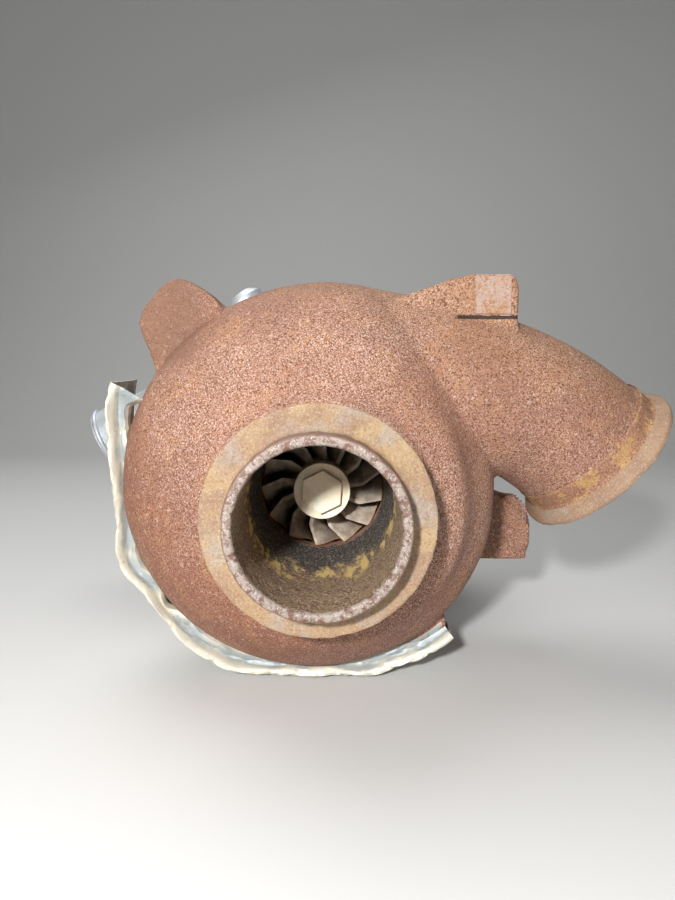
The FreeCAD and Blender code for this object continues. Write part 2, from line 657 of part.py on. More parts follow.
def make_nozzle_ring():
    back = CHANNEL_BACK_Y + NOZZLE_RING_T
    ring = tube(INDUCER_R + 0.8, CHAMBER_R - 0.1, CHANNEL_BACK_Y, back)
    for angle in vane_angles():
        ring = ring.cut(rod(VANE_PIN_R + RUN_GAP, CHANNEL_BACK_Y - 1, back + 1,
                            at(angle, VANE_PIVOT_R)))
    return ring


def make_vane(angle):
    """Aerofoil, pivot pin and lever in one casting, drawn at angle 90."""
    pivot = V(0, 0, VANE_PIVOT_R)
    slope = math.radians(VANE_ANGLE)
    along = V(-math.cos(slope), 0, -math.sin(slope))
    across = V(-along.z, 0, along.x)
    y0 = CHANNEL_FRONT_Y + FREE_GAP
    y1 = CHANNEL_BACK_Y - FREE_GAP
    upper, lower = [], []
    for share in (0.0, 0.12, 0.35, 0.65, 1.0):
        half = VANE_CHORD * 0.40 * math.sqrt(share) * (1.03 - share) * 0.42
        spot = pivot + along * (VANE_CHORD * (share - 0.42))
        upper.append(spot + across * half + V(0, y0, 0))
        lower.append(spot - across * half + V(0, y0, 0))
    curve = Part.BSplineCurve()
    curve.interpolate(upper[::-1] + lower[1:])
    nose = Part.makeLine(lower[-1], upper[-1])
    foil = Part.Face(Part.Wire([curve.toShape(), nose])).extrude(V(0, y1 - y0, 0))
    arm_y = CHANNEL_BACK_Y + NOZZLE_RING_T + FREE_GAP
    arm_end = arm_y + UNISON_RING_T
    pin = rod(VANE_PIN_R, y0 + 1, arm_end, pivot)
    boss = rod(4.6, arm_y, arm_end, pivot)
    tip = rod(ARM_TIP_R, arm_y, arm_end, pivot + V(0, 0, VANE_ARM_L))
    web = Part.makeBox(4.4, UNISON_RING_T, VANE_ARM_L, V(-2.2, arm_y, VANE_PIVOT_R))
    return turned(fused([foil, pin, boss, tip, web]), angle - 90)


def unison_slot(angle, end_room):
    """Slot for an arm's tip: open inwards, flared at its mouth for the arm's swing."""
    half = ARM_TIP_R + SLOT_GAP
    y0 = CHANNEL_BACK_Y + NOZZLE_RING_T - 1
    y1 = y0 + UNISON_RING_T + 3
    end_r = VANE_PIVOT_R + VANE_ARM_L + end_room
    flare = half + 1.2
    cut = prism([(UNISON_RING_IN - 2, -flare), (UNISON_RING_IN + 1.5, -half), (end_r, -half),
                 (end_r, half), (UNISON_RING_IN + 1.5, half), (UNISON_RING_IN - 2, flare)],
                y0, y1)
    return turned(cut.fuse(rod(half, y0, y1, V(end_r, 0, 0))), angle)


def make_unison_ring():
    y0 = CHANNEL_BACK_Y + NOZZLE_RING_T + FREE_GAP
    ring = tube(UNISON_RING_IN, CHAMBER_R - RUN_GAP, y0, y0 + UNISON_RING_T)
    for angle in vane_angles():
        ring = ring.cut(unison_slot(angle, 0.0))
    return ring.cut(unison_slot(CRANK_ANGLE, CRANK_SLOT_ROOM))


def crank_pivot_r():
    return VANE_PIVOT_R + VANE_ARM_L + CRANK_ARM_L


def make_crank():
    """Crank drawn at angle 90: front arm to the unison ring, rear arm to the piston."""
    r = crank_pivot_r()
    ring_y = CHANNEL_BACK_Y + NOZZLE_RING_T + FREE_GAP
    arm_y = REAR_FACE_Y - FREE_GAP - CRANK_T
    pivot = V(0, 0, r)
    hub = rod(5.6, arm_y, REAR_FACE_Y - FREE_GAP, pivot)
    web = Part.makeBox(5.0, CRANK_T, CRANK_ARM_L, V(-2.5, arm_y, r - CRANK_ARM_L))
    peg = rod(ARM_TIP_R, ring_y + 0.2, REAR_FACE_Y - FREE_GAP, V(0, 0, r - CRANK_ARM_L))
    shaft = rod(CRANK_SHAFT_R, arm_y, CRANK_REAR_Y + 3, pivot)
    rear_web = Part.makeBox(6.0, 3.6, PISTON_ARM_L, V(-3, CRANK_REAR_Y, r - PISTON_ARM_L))
    rear_hub = rod(5.6, CRANK_REAR_Y, CRANK_REAR_Y + 3.6, pivot)
    rear_peg = rod(3.0, CRANK_REAR_Y, PISTON_Y - 2, V(0, 0, r - PISTON_ARM_L))
    return turned(fused([hub, web, peg, shaft, rear_web, rear_hub, rear_peg]),
                  CRANK_ANGLE - 90)


def piston_axis_r():
    return crank_pivot_r() - PISTON_ARM_L


def make_piston():
    """Hydraulic piston drawn at angle 90, along X, slotted for the crank's peg."""
    r = piston_axis_r()
    body = Part.makeCylinder(PISTON_R, PISTON_L, V(-PISTON_L / 2, PISTON_Y, r), V(1, 0, 0))
    slot = Part.makeBox(6.4, PISTON_R + 2, 2 * PISTON_R + 2,
                        V(-3.2, PISTON_Y - PISTON_R - 1, r - PISTON_R - 1))
    body = body.cut(slot)
    for side in (-1, 1):
        x = side * (PISTON_L / 2 - 5)
        ring = Part.makeCylinder(PISTON_R + 1, 1.6, V(x - 0.8, PISTON_Y, r), V(1, 0, 0))
        ring = ring.cut(Part.makeCylinder(PISTON_R - 1.2, 1.6, V(x - 0.8, PISTON_Y, r),
                                          V(1, 0, 0)))
        body = body.cut(ring)
    return turned(body, CRANK_ANGLE - 90)


# ---- bearing housing -----------------------------------------------------


def block_outer_r():
    return crank_pivot_r() + 9


def make_bearing_housing():
    flange_y = REAR_FACE_Y
    flange_end = REAR_FACE_Y + BEARING_FLANGE_T
    flange = rod(REAR_FLANGE_R, flange_y, flange_end)
    spigot = rod(44, CHANNEL_BACK_Y + NOZZLE_RING_T + SHROUD_T, flange_y + 1)
    barrel = spun_polygon([(0, flange_end - 1), (52, flange_end - 1), (44, flange_end + 6),
                           (BARREL_R, flange_end + 14), (BARREL_R, BEARING_REAR_Y - 16),
                           (44, BEARING_REAR_Y - 8), (BEARING_REAR_R, BEARING_REAR_Y - 8),
                           (BEARING_REAR_R, BEARING_REAR_Y), (0, BEARING_REAR_Y)])
    block = Part.makeBox(2 * BLOCK_HALF_L, BLOCK_END_Y - flange_end + 1, block_outer_r() - 30,
                         V(-BLOCK_HALF_L, flange_end - 1, 30))
    block = turned(block, CRANK_ANGLE - 90)
    oil_boss = Part.makeCylinder(13, OIL_BOSS_TOP, V(0, OIL_Y, 0), at(OIL_IN_ANGLE, 1))
    drain_neck = Part.makeCylinder(20, -DRAIN_Z, V(0, OIL_Y, 0), V(0, 0, -1))
    drain_pad = Part.makeBox(66, 42, 8, V(-33, OIL_Y - 21, DRAIN_Z))
    body = fused([flange, spigot, barrel, block, oil_boss, drain_neck, drain_pad])

    front_bore = rod(SEAL_HUB_R + FREE_GAP, 110, flange_end)
    bearing_bore = rod(BEARING_R + RUN_GAP, flange_end - 2, SHAFT_STEP_Y)
    sump = rod(18, FRONT_BEARING_Y + BEARING_L + 2.5, REAR_BEARING_Y - 2.5)
    thrust_recess = rod(14, SHAFT_STEP_Y - 0.2, BEARING_REAR_Y + 1)
    thrust_seat = rod(THRUST_R, THRUST_Y, BEARING_REAR_Y + 1)
    body = body.cut(front_bore).cut(bearing_bore).cut(sump).cut(thrust_recess).cut(thrust_seat)
    for y in snap_ring_places():
        body = body.cut(rod(BEARING_R + 1.0, y - 0.05, y + SNAP_RING_T + 0.05))
    body = body.cut(Part.makeCylinder(DRAIN_BORE_R, 80, V(0, OIL_Y, DRAIN_TOP_Z), V(0, 0, -1)))
    body = body.cut(Part.makeCylinder(3, 80, V(0, OIL_Y, 0), at(OIL_IN_ANGLE, 1)))
    body = body.cut(Part.makeCylinder(OIL_THREAD_R, 14, at(OIL_IN_ANGLE, OIL_BOSS_TOP - 13, OIL_Y),
                                      at(OIL_IN_ANGLE, 1)))
    for x in (-DRAIN_BOLT_X, DRAIN_BOLT_X):
        body = body.cut(Part.makeCylinder(DRAIN_HOLE_R, 10, V(x, OIL_Y, DRAIN_Z - 1), V(0, 0, 1)))
    for angle in housing_bolt_angles():
        body = body.cut(rod(HOUSING_BOLT_R + BOLT_GAP, flange_y - 1, flange_end + 1,
                            at(angle, HOUSING_BOLT_PITCH_R)))
        body = body.cut(rod(9, flange_end, flange_end + 9, at(angle, HOUSING_BOLT_PITCH_R)))
    for angle in seal_plate_bolt_angles():
        body = body.cut(rod(SEAL_BOLT_R + BOLT_GAP, BEARING_REAR_Y - 9, BEARING_REAR_Y + 1,
                            at(angle, SEAL_BOLT_PITCH_R)))

    r = piston_axis_r()
    pivot_r = crank_pivot_r()
    crank_bore = rod(CRANK_SHAFT_R + RUN_GAP, flange_y - 1, flange_end + 1, V(0, 0, pivot_r))
    crank_room = prism([(-7, r - 4.5), (7, r - 4.5), (7, pivot_r + 6.2), (-7, pivot_r + 6.2)],
                       CRANK_REAR_Y - 1.0, CRANK_REAR_Y + 4.2)
    sweep_room = prism([(-9.5, r - 4.5), (9.5, r - 4.5), (9.5, r + 5), (-9.5, r + 5)],
                       CRANK_REAR_Y - 1.0, PISTON_Y)
    bore = Part.makeCylinder(PISTON_R + RUN_GAP, 2 * BLOCK_HALF_L + 2,
                             V(-BLOCK_HALF_L - 1, PISTON_Y, r), V(1, 0, 0))
    valve_bore = Part.makeCylinder(VALVE_SPOOL_R + 0.1, 20, V(VALVE_OFFSET, PISTON_Y, r + 4),
                                   V(0, 0, 1))
    for room in (crank_bore, crank_room, sweep_room, bore, valve_bore):
        body = body.cut(turned(room, CRANK_ANGLE - 90))
    return body


def seal_plate_bolt_angles():
    return [45 + 90 * i for i in range(4)]


def make_heat_shroud():
    y = CHANNEL_BACK_Y + NOZZLE_RING_T
    return tube(SEAL_HUB_R + 1.2, 44, y, y + SHROUD_T)


def make_thrust_bearing():
    plate = tube(7.6 + RUN_GAP, THRUST_R - 0.05, THRUST_Y, THRUST_Y + THRUST_T)
    return plate.cut(Part.makeBox(16, 6, 10, V(-8, THRUST_Y - 1, -24)))


def make_thrust_washer():
    return tube(SHAFT_END_R + SLIP_GAP, 12, SHAFT_STEP_Y, SHAFT_STEP_Y + THRUST_WASHER_T)


def make_piston_caps():
    caps = []
    r = piston_axis_r()
    for side in (-1, 1):
        start = V(side * BLOCK_HALF_L, PISTON_Y, r)
        disc = Part.makeCylinder(13, CAP_T, start, V(side, 0, 0))
        plug = Part.makeCylinder(PISTON_R - 0.1, 6.0, start, V(-side, 0, 0))
        caps.append(turned(disc.fuse(plug).removeSplitter(), CRANK_ANGLE - 90))
    return caps


def make_control_valve():
    """Solenoid valve that feeds oil to the piston, drawn at angle 90."""
    base = V(VALVE_OFFSET, PISTON_Y, block_outer_r())
    up = V(0, 0, 1)
    spool = Part.makeCylinder(VALVE_SPOOL_R, 9, base - up * 9, up)
    nut = hexagon(24, 0, 6)
    nut.rotate(V(0, 0, 0), V(1, 0, 0), 90)
    nut.translate(V(VALVE_OFFSET, PISTON_Y, block_outer_r()))
    can = Part.makeCylinder(VALVE_R, VALVE_TOP_R - block_outer_r() - 9, base + up * 5, up)
    dome = Part.makeCone(VALVE_R, VALVE_R - 5, 4, base + up * (VALVE_TOP_R - block_outer_r() - 4), up)
    plug = Part.makeBox(14, 20, 10, V(VALVE_OFFSET - 7, PISTON_Y, VALVE_TOP_R - 16))
    return turned(fused([spool, nut, can, dome, plug]), CRANK_ANGLE - 90)


def make_oil_fitting():
    along = at(OIL_IN_ANGLE, 1)
    seat = at(OIL_IN_ANGLE, OIL_BOSS_TOP, OIL_Y)
    thread = Part.makeCylinder(OIL_THREAD_R - 0.05, 11, seat - along * 11, along)
    collar = Part.makeCylinder(9, 6, seat, along)
    nipple = Part.makeCylinder(5.5, 18, seat, along)
    body = fused([thread, collar, nipple])
    return body.cut(Part.makeCylinder(3, 60, seat - along * 20, along))


# ---- compressor ----------------------------------------------------------


def air_ring(angle, extra):
    share = (angle - AIR_START) / (AIR_END - AIR_START)
    inner = AIR_SCROLL_SMALL + (AIR_SCROLL_LARGE - AIR_SCROLL_SMALL) * share
    return at(angle, AIR_SCROLL_R, SEAL_PLATE_BACK_Y + inner), at(angle + 90, 1), inner + extra


def air_scroll(extra):
    angles = [AIR_START + (AIR_END - AIR_START) * i / 13 for i in range(14)]
    return loft_of_circles([air_ring(a, extra) for a in angles])


def clamp_bolt_angles():
    return [30 + 360 / CLAMP_BOLTS * i for i in range(CLAMP_BOLTS)]


def make_compressor_housing():
    plate_y = SEAL_PLATE_BACK_Y
    start, along, radius = air_ring(AIR_END, AIR_WALL)
    pipe = Part.makeCylinder(radius, AIR_OUT_L, start, along)
    bead = Part.makeTorus(radius - 0.5, 1.8, start + along * (AIR_OUT_L - 2.5), along)
    body = spun(
        [(0, SEAL_PLATE_RIM_Y), (JOINT_R, SEAL_PLATE_RIM_Y)],
        [(JOINT_R, SEAL_PLATE_RIM_Y), (JOINT_R, plate_y + 4)],
        [(JOINT_R, plate_y + 4), (72, plate_y + 8), (56, plate_y + 14),
         (AIR_INLET_R + 8, plate_y + 22), (AIR_INLET_R, plate_y + 32)],
        [(AIR_INLET_R, plate_y + 32), (AIR_INLET_R, AIR_INLET_END_Y - 1)],
        [(AIR_INLET_R, AIR_INLET_END_Y - 1), (AIR_INLET_R - 1, AIR_INLET_END_Y)],
        [(AIR_INLET_R - 1, AIR_INLET_END_Y), (0, AIR_INLET_END_Y)],
        [(0, AIR_INLET_END_Y), (0, SEAL_PLATE_RIM_Y)],
    )
    foot = Part.makeBox(26, 26, -FLOOR_Z - 70, V(-13, plate_y - 4, FLOOR_Z))
    shell = fused([body, air_scroll(AIR_WALL), pipe, bead, foot])
    passage = air_scroll(0).cut(rod(150, plate_y - 30, plate_y))
    pipe_bore = Part.makeCylinder(AIR_SCROLL_LARGE, AIR_OUT_L + 1, start, along)
    register = rod(SEAL_PLATE_R + 0.1, SEAL_PLATE_RIM_Y - 1, plate_y)
    diffuser = rod(AIR_SCROLL_R, plate_y - 1, plate_y + 4.5)
    inlet = spun(
        [(0, plate_y), (COMPRESSOR_R + 0.6, plate_y)],
        [(COMPRESSOR_R + 0.6, plate_y), (COMPRESSOR_R + 0.6, plate_y + 4.5)],
        [(COMPRESSOR_R + 0.6, plate_y + 4.5), (COMPRESSOR_R - 0.2, plate_y + 7.5),
         (COMPRESSOR_IN_R + 5, plate_y + 15), (COMPRESSOR_IN_R + 1.3, plate_y + 24),
         (COMPRESSOR_IN_R + 0.9, plate_y + 34)],
        [(COMPRESSOR_IN_R + 0.9, plate_y + 34), (AIR_INLET_R - 4, AIR_INLET_END_Y + 1)],
        [(AIR_INLET_R - 4, AIR_INLET_END_Y + 1), (0, AIR_INLET_END_Y + 1)],
        [(0, AIR_INLET_END_Y + 1), (0, plate_y)],
    )
    for room in (passage, pipe_bore, register, diffuser, inlet):
        shell = shell.cut(room)
    for angle in clamp_bolt_angles():
        shell = shell.cut(rod(CLAMP_BOLT_R + BOLT_GAP, SEAL_PLATE_RIM_Y - 1, plate_y - 2,
                              at(angle, CLAMP_PITCH_R)))
    return shell


def make_seal_plate():
    plate_y = SEAL_PLATE_BACK_Y
    body = spun_polygon([(0, BEARING_REAR_Y), (BEARING_REAR_R, BEARING_REAR_Y),
                         (BEARING_REAR_R, SEAL_PLATE_RIM_Y), (SEAL_PLATE_R, SEAL_PLATE_RIM_Y),
                         (SEAL_PLATE_R, plate_y), (0, plate_y)])
    ring_y = (SEAL_PLATE_RIM_Y + plate_y) / 2
    body = body.cut(rod(SEAL_HUB_R + FREE_GAP, 180, 200))
    body = body.cut(rod(16, 183, THRUST_COLLAR_END_Y + 2.2))
    body = body.cut(tube(SEAL_PLATE_R - 3.4, SEAL_PLATE_R + 1, ring_y - 1.8, ring_y + 1.8))
    for angle in seal_plate_bolt_angles():
        body = body.cut(rod(SEAL_BOLT_R + BOLT_GAP, 183, plate_y - 3,
                            at(angle, SEAL_BOLT_PITCH_R)))
    return body


def make_o_ring():
    ring_y = (SEAL_PLATE_RIM_Y + SEAL_PLATE_BACK_Y) / 2
    return Part.makeTorus(SEAL_PLATE_R - 1.7, 1.6, V(0, ring_y, 0), SHAFT_AXIS)


def make_clamp_plates():
    ring = tube(SEAL_PLATE_R - 6, JOINT_R - 1, SEAL_PLATE_RIM_Y - 2.5, SEAL_PLATE_RIM_Y)
    plates = []
    for angle in clamp_bolt_angles():
        sector = turned(prism([(55, -13), (95, -16), (95, 16), (55, 13)],
                              SEAL_PLATE_RIM_Y - 4, SEAL_PLATE_RIM_Y + 1), angle)
        plate = ring.common(sector)
        plates.append(plate.cut(rod(CLAMP_BOLT_R + BOLT_GAP, 180, 190, at(angle, CLAMP_PITCH_R))))
    return plates


def make_clamp_bolts():
    head_y = SEAL_PLATE_RIM_Y - 2.5
    return [bolt(CLAMP_BOLT_R, 9, head_y, SEAL_PLATE_BACK_Y - 3, 4.5, at(angle, CLAMP_PITCH_R))
            for angle in clamp_bolt_angles()]


def make_seal_plate_bolts():
    head_y = BEARING_REAR_Y - 8
    return [bolt(SEAL_BOLT_R, 9, head_y, SEAL_PLATE_BACK_Y - 4, 4.5, at(angle, SEAL_BOLT_PITCH_R))
            for angle in seal_plate_bolt_angles()]


# ---- write every node ----------------------------------------------------
def main():
    nodes = {}
    nodes["turbine_housing"] = make_turbine_housing()
    nodes["turbine_housing_bolts"] = Part.makeCompound(make_housing_bolts())
    nodes["turbine_wheel_and_shaft"] = make_turbine_wheel()
    nodes["turbine_seal_ring"] = make_seal_ring(TURBINE_SEAL_Y)
    nodes["heat_shroud"] = make_heat_shroud()
    nodes["nozzle_ring"] = make_nozzle_ring()
    for i, angle in enumerate(vane_angles()):
        nodes["nozzle_vane_%02d" % (i + 1)] = make_vane(angle)
    nodes["unison_ring"] = make_unison_ring()
    nodes["vane_crank"] = make_crank()
    nodes["actuator_piston"] = make_piston()
    nodes["actuator_caps"] = Part.makeCompound(make_piston_caps())
    nodes["control_valve"] = make_control_valve()
    nodes["bearing_housing"] = make_bearing_housing()
    nodes["journal_bearing_turbine"] = make_journal_bearing(FRONT_BEARING_Y)
    nodes["journal_bearing_compressor"] = make_journal_bearing(REAR_BEARING_Y)
    nodes["bearing_snap_rings"] = Part.makeCompound(make_snap_rings())
    nodes["thrust_washer"] = make_thrust_washer()
    nodes["thrust_bearing"] = make_thrust_bearing()
    nodes["thrust_collar"] = make_thrust_collar()
    nodes["oil_flinger"] = make_oil_flinger()
    nodes["compressor_seal_ring"] = make_seal_ring(AIR_SEAL_Y)
    nodes["oil_inlet_fitting"] = make_oil_fitting()
    nodes["seal_plate"] = make_seal_plate()
    nodes["seal_plate_o_ring"] = make_o_ring()
    nodes["seal_plate_bolts"] = Part.makeCompound(make_seal_plate_bolts())
    nodes["compressor_wheel"] = make_compressor_wheel()
    nodes["shaft_nut"] = make_shaft_nut()
    nodes["compressor_housing"] = make_compressor_housing()
    nodes["compressor_clamp_plates"] = Part.makeCompound(make_clamp_plates())
    nodes["compressor_clamp_bolts"] = Part.makeCompound(make_clamp_bolts())
    nodes["heat_shield"] = make_heat_shield()
    nodes["heat_shield_screws"] = Part.makeCompound(make_shield_screws())

    os.makedirs("parts", exist_ok=True)
    for name, shape in nodes.items():
        shape.exportStep("parts/" + name + ".step")
        print(name, shape.ShapeType, len(shape.Solids), round(shape.Volume), shape.isValid())


main()
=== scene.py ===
import json
import math

import bmesh
import bpy
from bpy.props import FloatProperty, FloatVectorProperty, IntProperty, PointerProperty
from mathutils import Matrix, Vector, noise


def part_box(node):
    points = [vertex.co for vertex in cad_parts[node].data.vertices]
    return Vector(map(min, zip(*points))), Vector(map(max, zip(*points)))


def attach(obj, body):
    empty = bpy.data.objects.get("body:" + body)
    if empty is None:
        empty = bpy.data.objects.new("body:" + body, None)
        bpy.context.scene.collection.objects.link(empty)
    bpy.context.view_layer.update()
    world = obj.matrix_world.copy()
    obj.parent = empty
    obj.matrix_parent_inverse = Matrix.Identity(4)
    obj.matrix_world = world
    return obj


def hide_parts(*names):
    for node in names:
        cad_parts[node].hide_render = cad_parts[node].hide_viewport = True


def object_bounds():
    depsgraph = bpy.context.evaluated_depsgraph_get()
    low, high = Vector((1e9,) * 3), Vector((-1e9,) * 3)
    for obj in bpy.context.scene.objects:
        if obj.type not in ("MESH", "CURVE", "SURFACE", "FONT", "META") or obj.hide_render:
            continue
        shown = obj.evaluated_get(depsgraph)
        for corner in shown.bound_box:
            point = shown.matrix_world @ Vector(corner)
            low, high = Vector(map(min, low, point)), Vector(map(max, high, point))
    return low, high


bl_info = {
    "name": "Turbocharger dresser",
    "version": (1, 0, 0),
    "blender": (4, 5, 0),
    "location": "View3D > Sidebar > Turbocharger",
    "description": "Finishes a turbocharger: cast housing, wheel, heat shield, casings and stage",
    "category": "Object",
}

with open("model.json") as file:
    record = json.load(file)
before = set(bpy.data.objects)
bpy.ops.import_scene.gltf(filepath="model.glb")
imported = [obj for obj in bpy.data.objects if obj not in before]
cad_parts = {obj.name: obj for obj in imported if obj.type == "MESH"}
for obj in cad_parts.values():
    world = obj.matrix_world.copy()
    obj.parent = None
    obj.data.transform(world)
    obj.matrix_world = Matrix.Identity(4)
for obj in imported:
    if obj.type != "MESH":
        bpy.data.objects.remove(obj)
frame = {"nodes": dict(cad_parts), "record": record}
CAD_BOX = [list(corner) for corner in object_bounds()]
HOUSING_LOW, HOUSING_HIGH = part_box("turbine_housing")
SHIELD_LOW, SHIELD_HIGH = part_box("heat_shield")
FLOOR_Z = CAD_BOX[0][2]
MOUNTS = {mount["name"]: mount for mount in frame["record"]["mounts"]}

# the exhaust inlet: centre of its face, the way it points, and its radii
INLET_FACE = Vector((0.147, 0.088, 0.0135))
INLET_OUT = Vector(MOUNTS["exhaust_inlet_face"]["axis"]).normalized()
INLET_BORE_R = 0.0343
INLET_COLLAR_R = 0.0403
INLET_FLANGE_R = 0.0460

# the exhaust outlet: bore, raised lip and flange round the shaft
BORE_R = 0.0336
LIP_R = 0.0387
FLANGE_R = 0.0500
LIP_Y = HOUSING_LOW.y
COLLAR_END_Y = 0.013
WHEEL_PLANE_Y = 0.083

# the wheel's nose: hexagon across flats and its turn in degrees
NOSE_R = 0.0146
NOSE_HEX_FLATS = 0.0195
NOSE_HEX_TURN = 56.0

# the milled pad and the slot below it
PAD_LOW = Vector((0.0735, 0.0594, 0.0880))
PAD_HIGH = Vector((0.0925, 0.0780, 0.1078))
SLOT_Z = (0.0862, 0.0888)
SLOT_X = (0.0635, 0.0965)
SLOT_BACK_Y = 0.0740

# the places where the turned ends take over from the casting's skin
FRONT_END_Y = 0.0105
FRONT_END_R = 0.056
BORE_END_Y = 0.0805
BORE_END_R = 0.0362
INLET_END_DEPTH = 0.0150
INLET_END_R = 0.056

MERGE_DISTANCE = 1e-6
SMOOTH_ALL = 3.2


# ---- sizes and colours a user would change ------------------------------
def length(name, description, default):
    """A length in metres that a user can change."""
    return FloatProperty(name=name, description=description, default=default, subtype="DISTANCE",
                         unit="LENGTH", precision=4)


def colour(name, description, default):
    """A colour that a user can change."""
    return FloatVectorProperty(name=name, description=description, default=default,
                               subtype="COLOR", size=3, min=0.0, max=1.0)


class CastingSettings(bpy.types.PropertyGroup):
    voxel: length("Voxel", "Cell size of the rounded casting mesh", 0.0017)
    rounding: IntProperty(name="Rounding", description="Smoothing passes on the casting",
                          default=3, min=0, max=30)
    rust: colour("Rust", "Main colour of the rusted skin", (0.325, 0.148, 0.084))
    rust_light: colour("Light scale", "Colour of the pale scale specks", (0.610, 0.435, 0.365))
    rust_dark: colour("Dark pits", "Colour of the dark pits", (0.105, 0.036, 0.018))
    ochre: colour("Ochre", "Colour of the yellow rust on the flanges", (0.385, 0.262, 0.138))


class ShieldSettings(bpy.types.PropertyGroup):
    thickness: length("Thickness", "Thickness of the sheet", 0.0009)
    crumple: length("Crumple", "Depth of the dents", 0.0030)
    metal: colour("Metal", "Colour of the aluminised sheet", (0.33, 0.37, 0.37))
    stain: colour("Stain", "Colour of the cream heat stain", (0.62, 0.585, 0.48))


class StageSettings(bpy.types.PropertyGroup):
    lens: FloatProperty(name="Lens", description="Focal length in millimetres", default=27.04)
    key_power: FloatProperty(name="Key light", description="Power of the main light in watts",
                             default=7.6, min=0.0)
    floor: colour("Floor", "Colour of the floor", (0.66, 0.655, 0.64))


# ---- material bench ------------------------------------------------------
class Bench:
    """Builds one node material; patterns read Object coordinates in metres."""

    def __init__(self, name):
        self.material = bpy.data.materials.new(name)
        self.material.use_nodes = True
        tree = self.material.node_tree
        tree.nodes.clear()
        self.nodes = tree.nodes
        self.links = tree.links
        self.out = self.nodes.new("ShaderNodeOutputMaterial")
        self.skin = self.nodes.new("ShaderNodeBsdfPrincipled")
        self.links.new(self.skin.outputs["BSDF"], self.out.inputs["Surface"])
        self.where = self.nodes.new("ShaderNodeTexCoord").outputs["Object"]

    def put(self, socket, value):
        """Links a socket's value, or sets a plain one."""
        if isinstance(value, bpy.types.NodeSocket):
            self.links.new(value, socket)
        elif socket.type == "RGBA" and len(value) == 3:
            socket.default_value = (*value, 1.0)
        else:
            socket.default_value = value

    def stretched(self, scale, shift=(0.0, 0.0, 0.0)):
        """Object coordinates scaled and shifted, for a pattern of its own."""
        node = self.nodes.new("ShaderNodeMapping")
        self.put(node.inputs["Vector"], self.where)
        node.inputs["Scale"].default_value = scale
        node.inputs["Location"].default_value = shift
        return node.outputs["Vector"]

    def noise(self, scale, detail=3.0, rough=0.55, where=None, warp=0.0):
        """Fractal noise near 0.5; a larger scale is finer."""
        node = self.nodes.new("ShaderNodeTexNoise")
        self.put(node.inputs["Vector"], where or self.where)
        node.inputs["Scale"].default_value = scale
        node.inputs["Detail"].default_value = detail
        node.inputs["Roughness"].default_value = rough
        node.inputs["Distortion"].default_value = warp
        return node.outputs["Fac"]

    def rings(self, scale, axis="Y", warp=0.0):
        """Turning marks round an axis."""
        node = self.nodes.new("ShaderNodeTexWave")
        node.wave_type = "RINGS"
        node.rings_direction = axis
        self.put(node.inputs["Vector"], self.where)
        node.inputs["Scale"].default_value = scale
        node.inputs["Distortion"].default_value = warp
        return node.outputs["Fac"]

    def steps(self, value, low, high):
        """0 below low, 1 above high, smooth between."""
        node = self.nodes.new("ShaderNodeMapRange")
        node.interpolation_type = "SMOOTHSTEP"
        self.put(node.inputs["Value"], value)
        node.inputs["From Min"].default_value = low
        node.inputs["From Max"].default_value = high
        return node.outputs["Result"]

    def sum(self, first, second, operation="ADD"):
        """Two values added, or joined by another operation."""
        node = self.nodes.new("ShaderNodeMath")
        node.operation = operation
        self.put(node.inputs[0], first)
        self.put(node.inputs[1], second)
        return node.outputs[0]

    def mix(self, share, first, second):
        """The first colour where share is 0, the second where it is 1."""
        node = self.nodes.new("ShaderNodeMix")
        node.data_type = "RGBA"
        self.put(node.inputs[0], share)
        self.put(node.inputs[6], first)
        self.put(node.inputs[7], second)
        return node.outputs[2]

    def part(self, axis):
        """One of the place's three coordinates."""
        node = self.nodes.new("ShaderNodeSeparateXYZ")
        self.put(node.inputs[0], self.where)
        return node.outputs[axis]

    def radius(self):
        """Distance from the shaft's axis, in metres."""
        flat = self.nodes.new("ShaderNodeVectorMath")
        flat.operation = "MULTIPLY"
        self.put(flat.inputs[0], self.where)
        flat.inputs[1].default_value = (1.0, 0.0, 1.0)
        node = self.nodes.new("ShaderNodeVectorMath")
        node.operation = "LENGTH"
        self.put(node.inputs[0], flat.outputs["Vector"])
        return node.outputs["Value"]

    def bump(self, *layers):
        """Each layer is (height, distance in metres, strength)."""
        last = None
        for height, distance, strength in layers:
            node = self.nodes.new("ShaderNodeBump")
            node.inputs["Distance"].default_value = distance
            node.inputs["Strength"].default_value = strength
            self.put(node.inputs["Height"], height)
            if last:
                self.links.new(last, node.inputs["Normal"])
            last = node.outputs["Normal"]
        self.links.new(last, self.skin.inputs["Normal"])

    def finish(self, colour, rough, metallic=0.0):
        """Sets the three main values and gives the material."""
        self.put(self.skin.inputs["Base Color"], colour)
        self.put(self.skin.inputs["Roughness"], rough)
        self.put(self.skin.inputs["Metallic"], metallic)
        return self.material


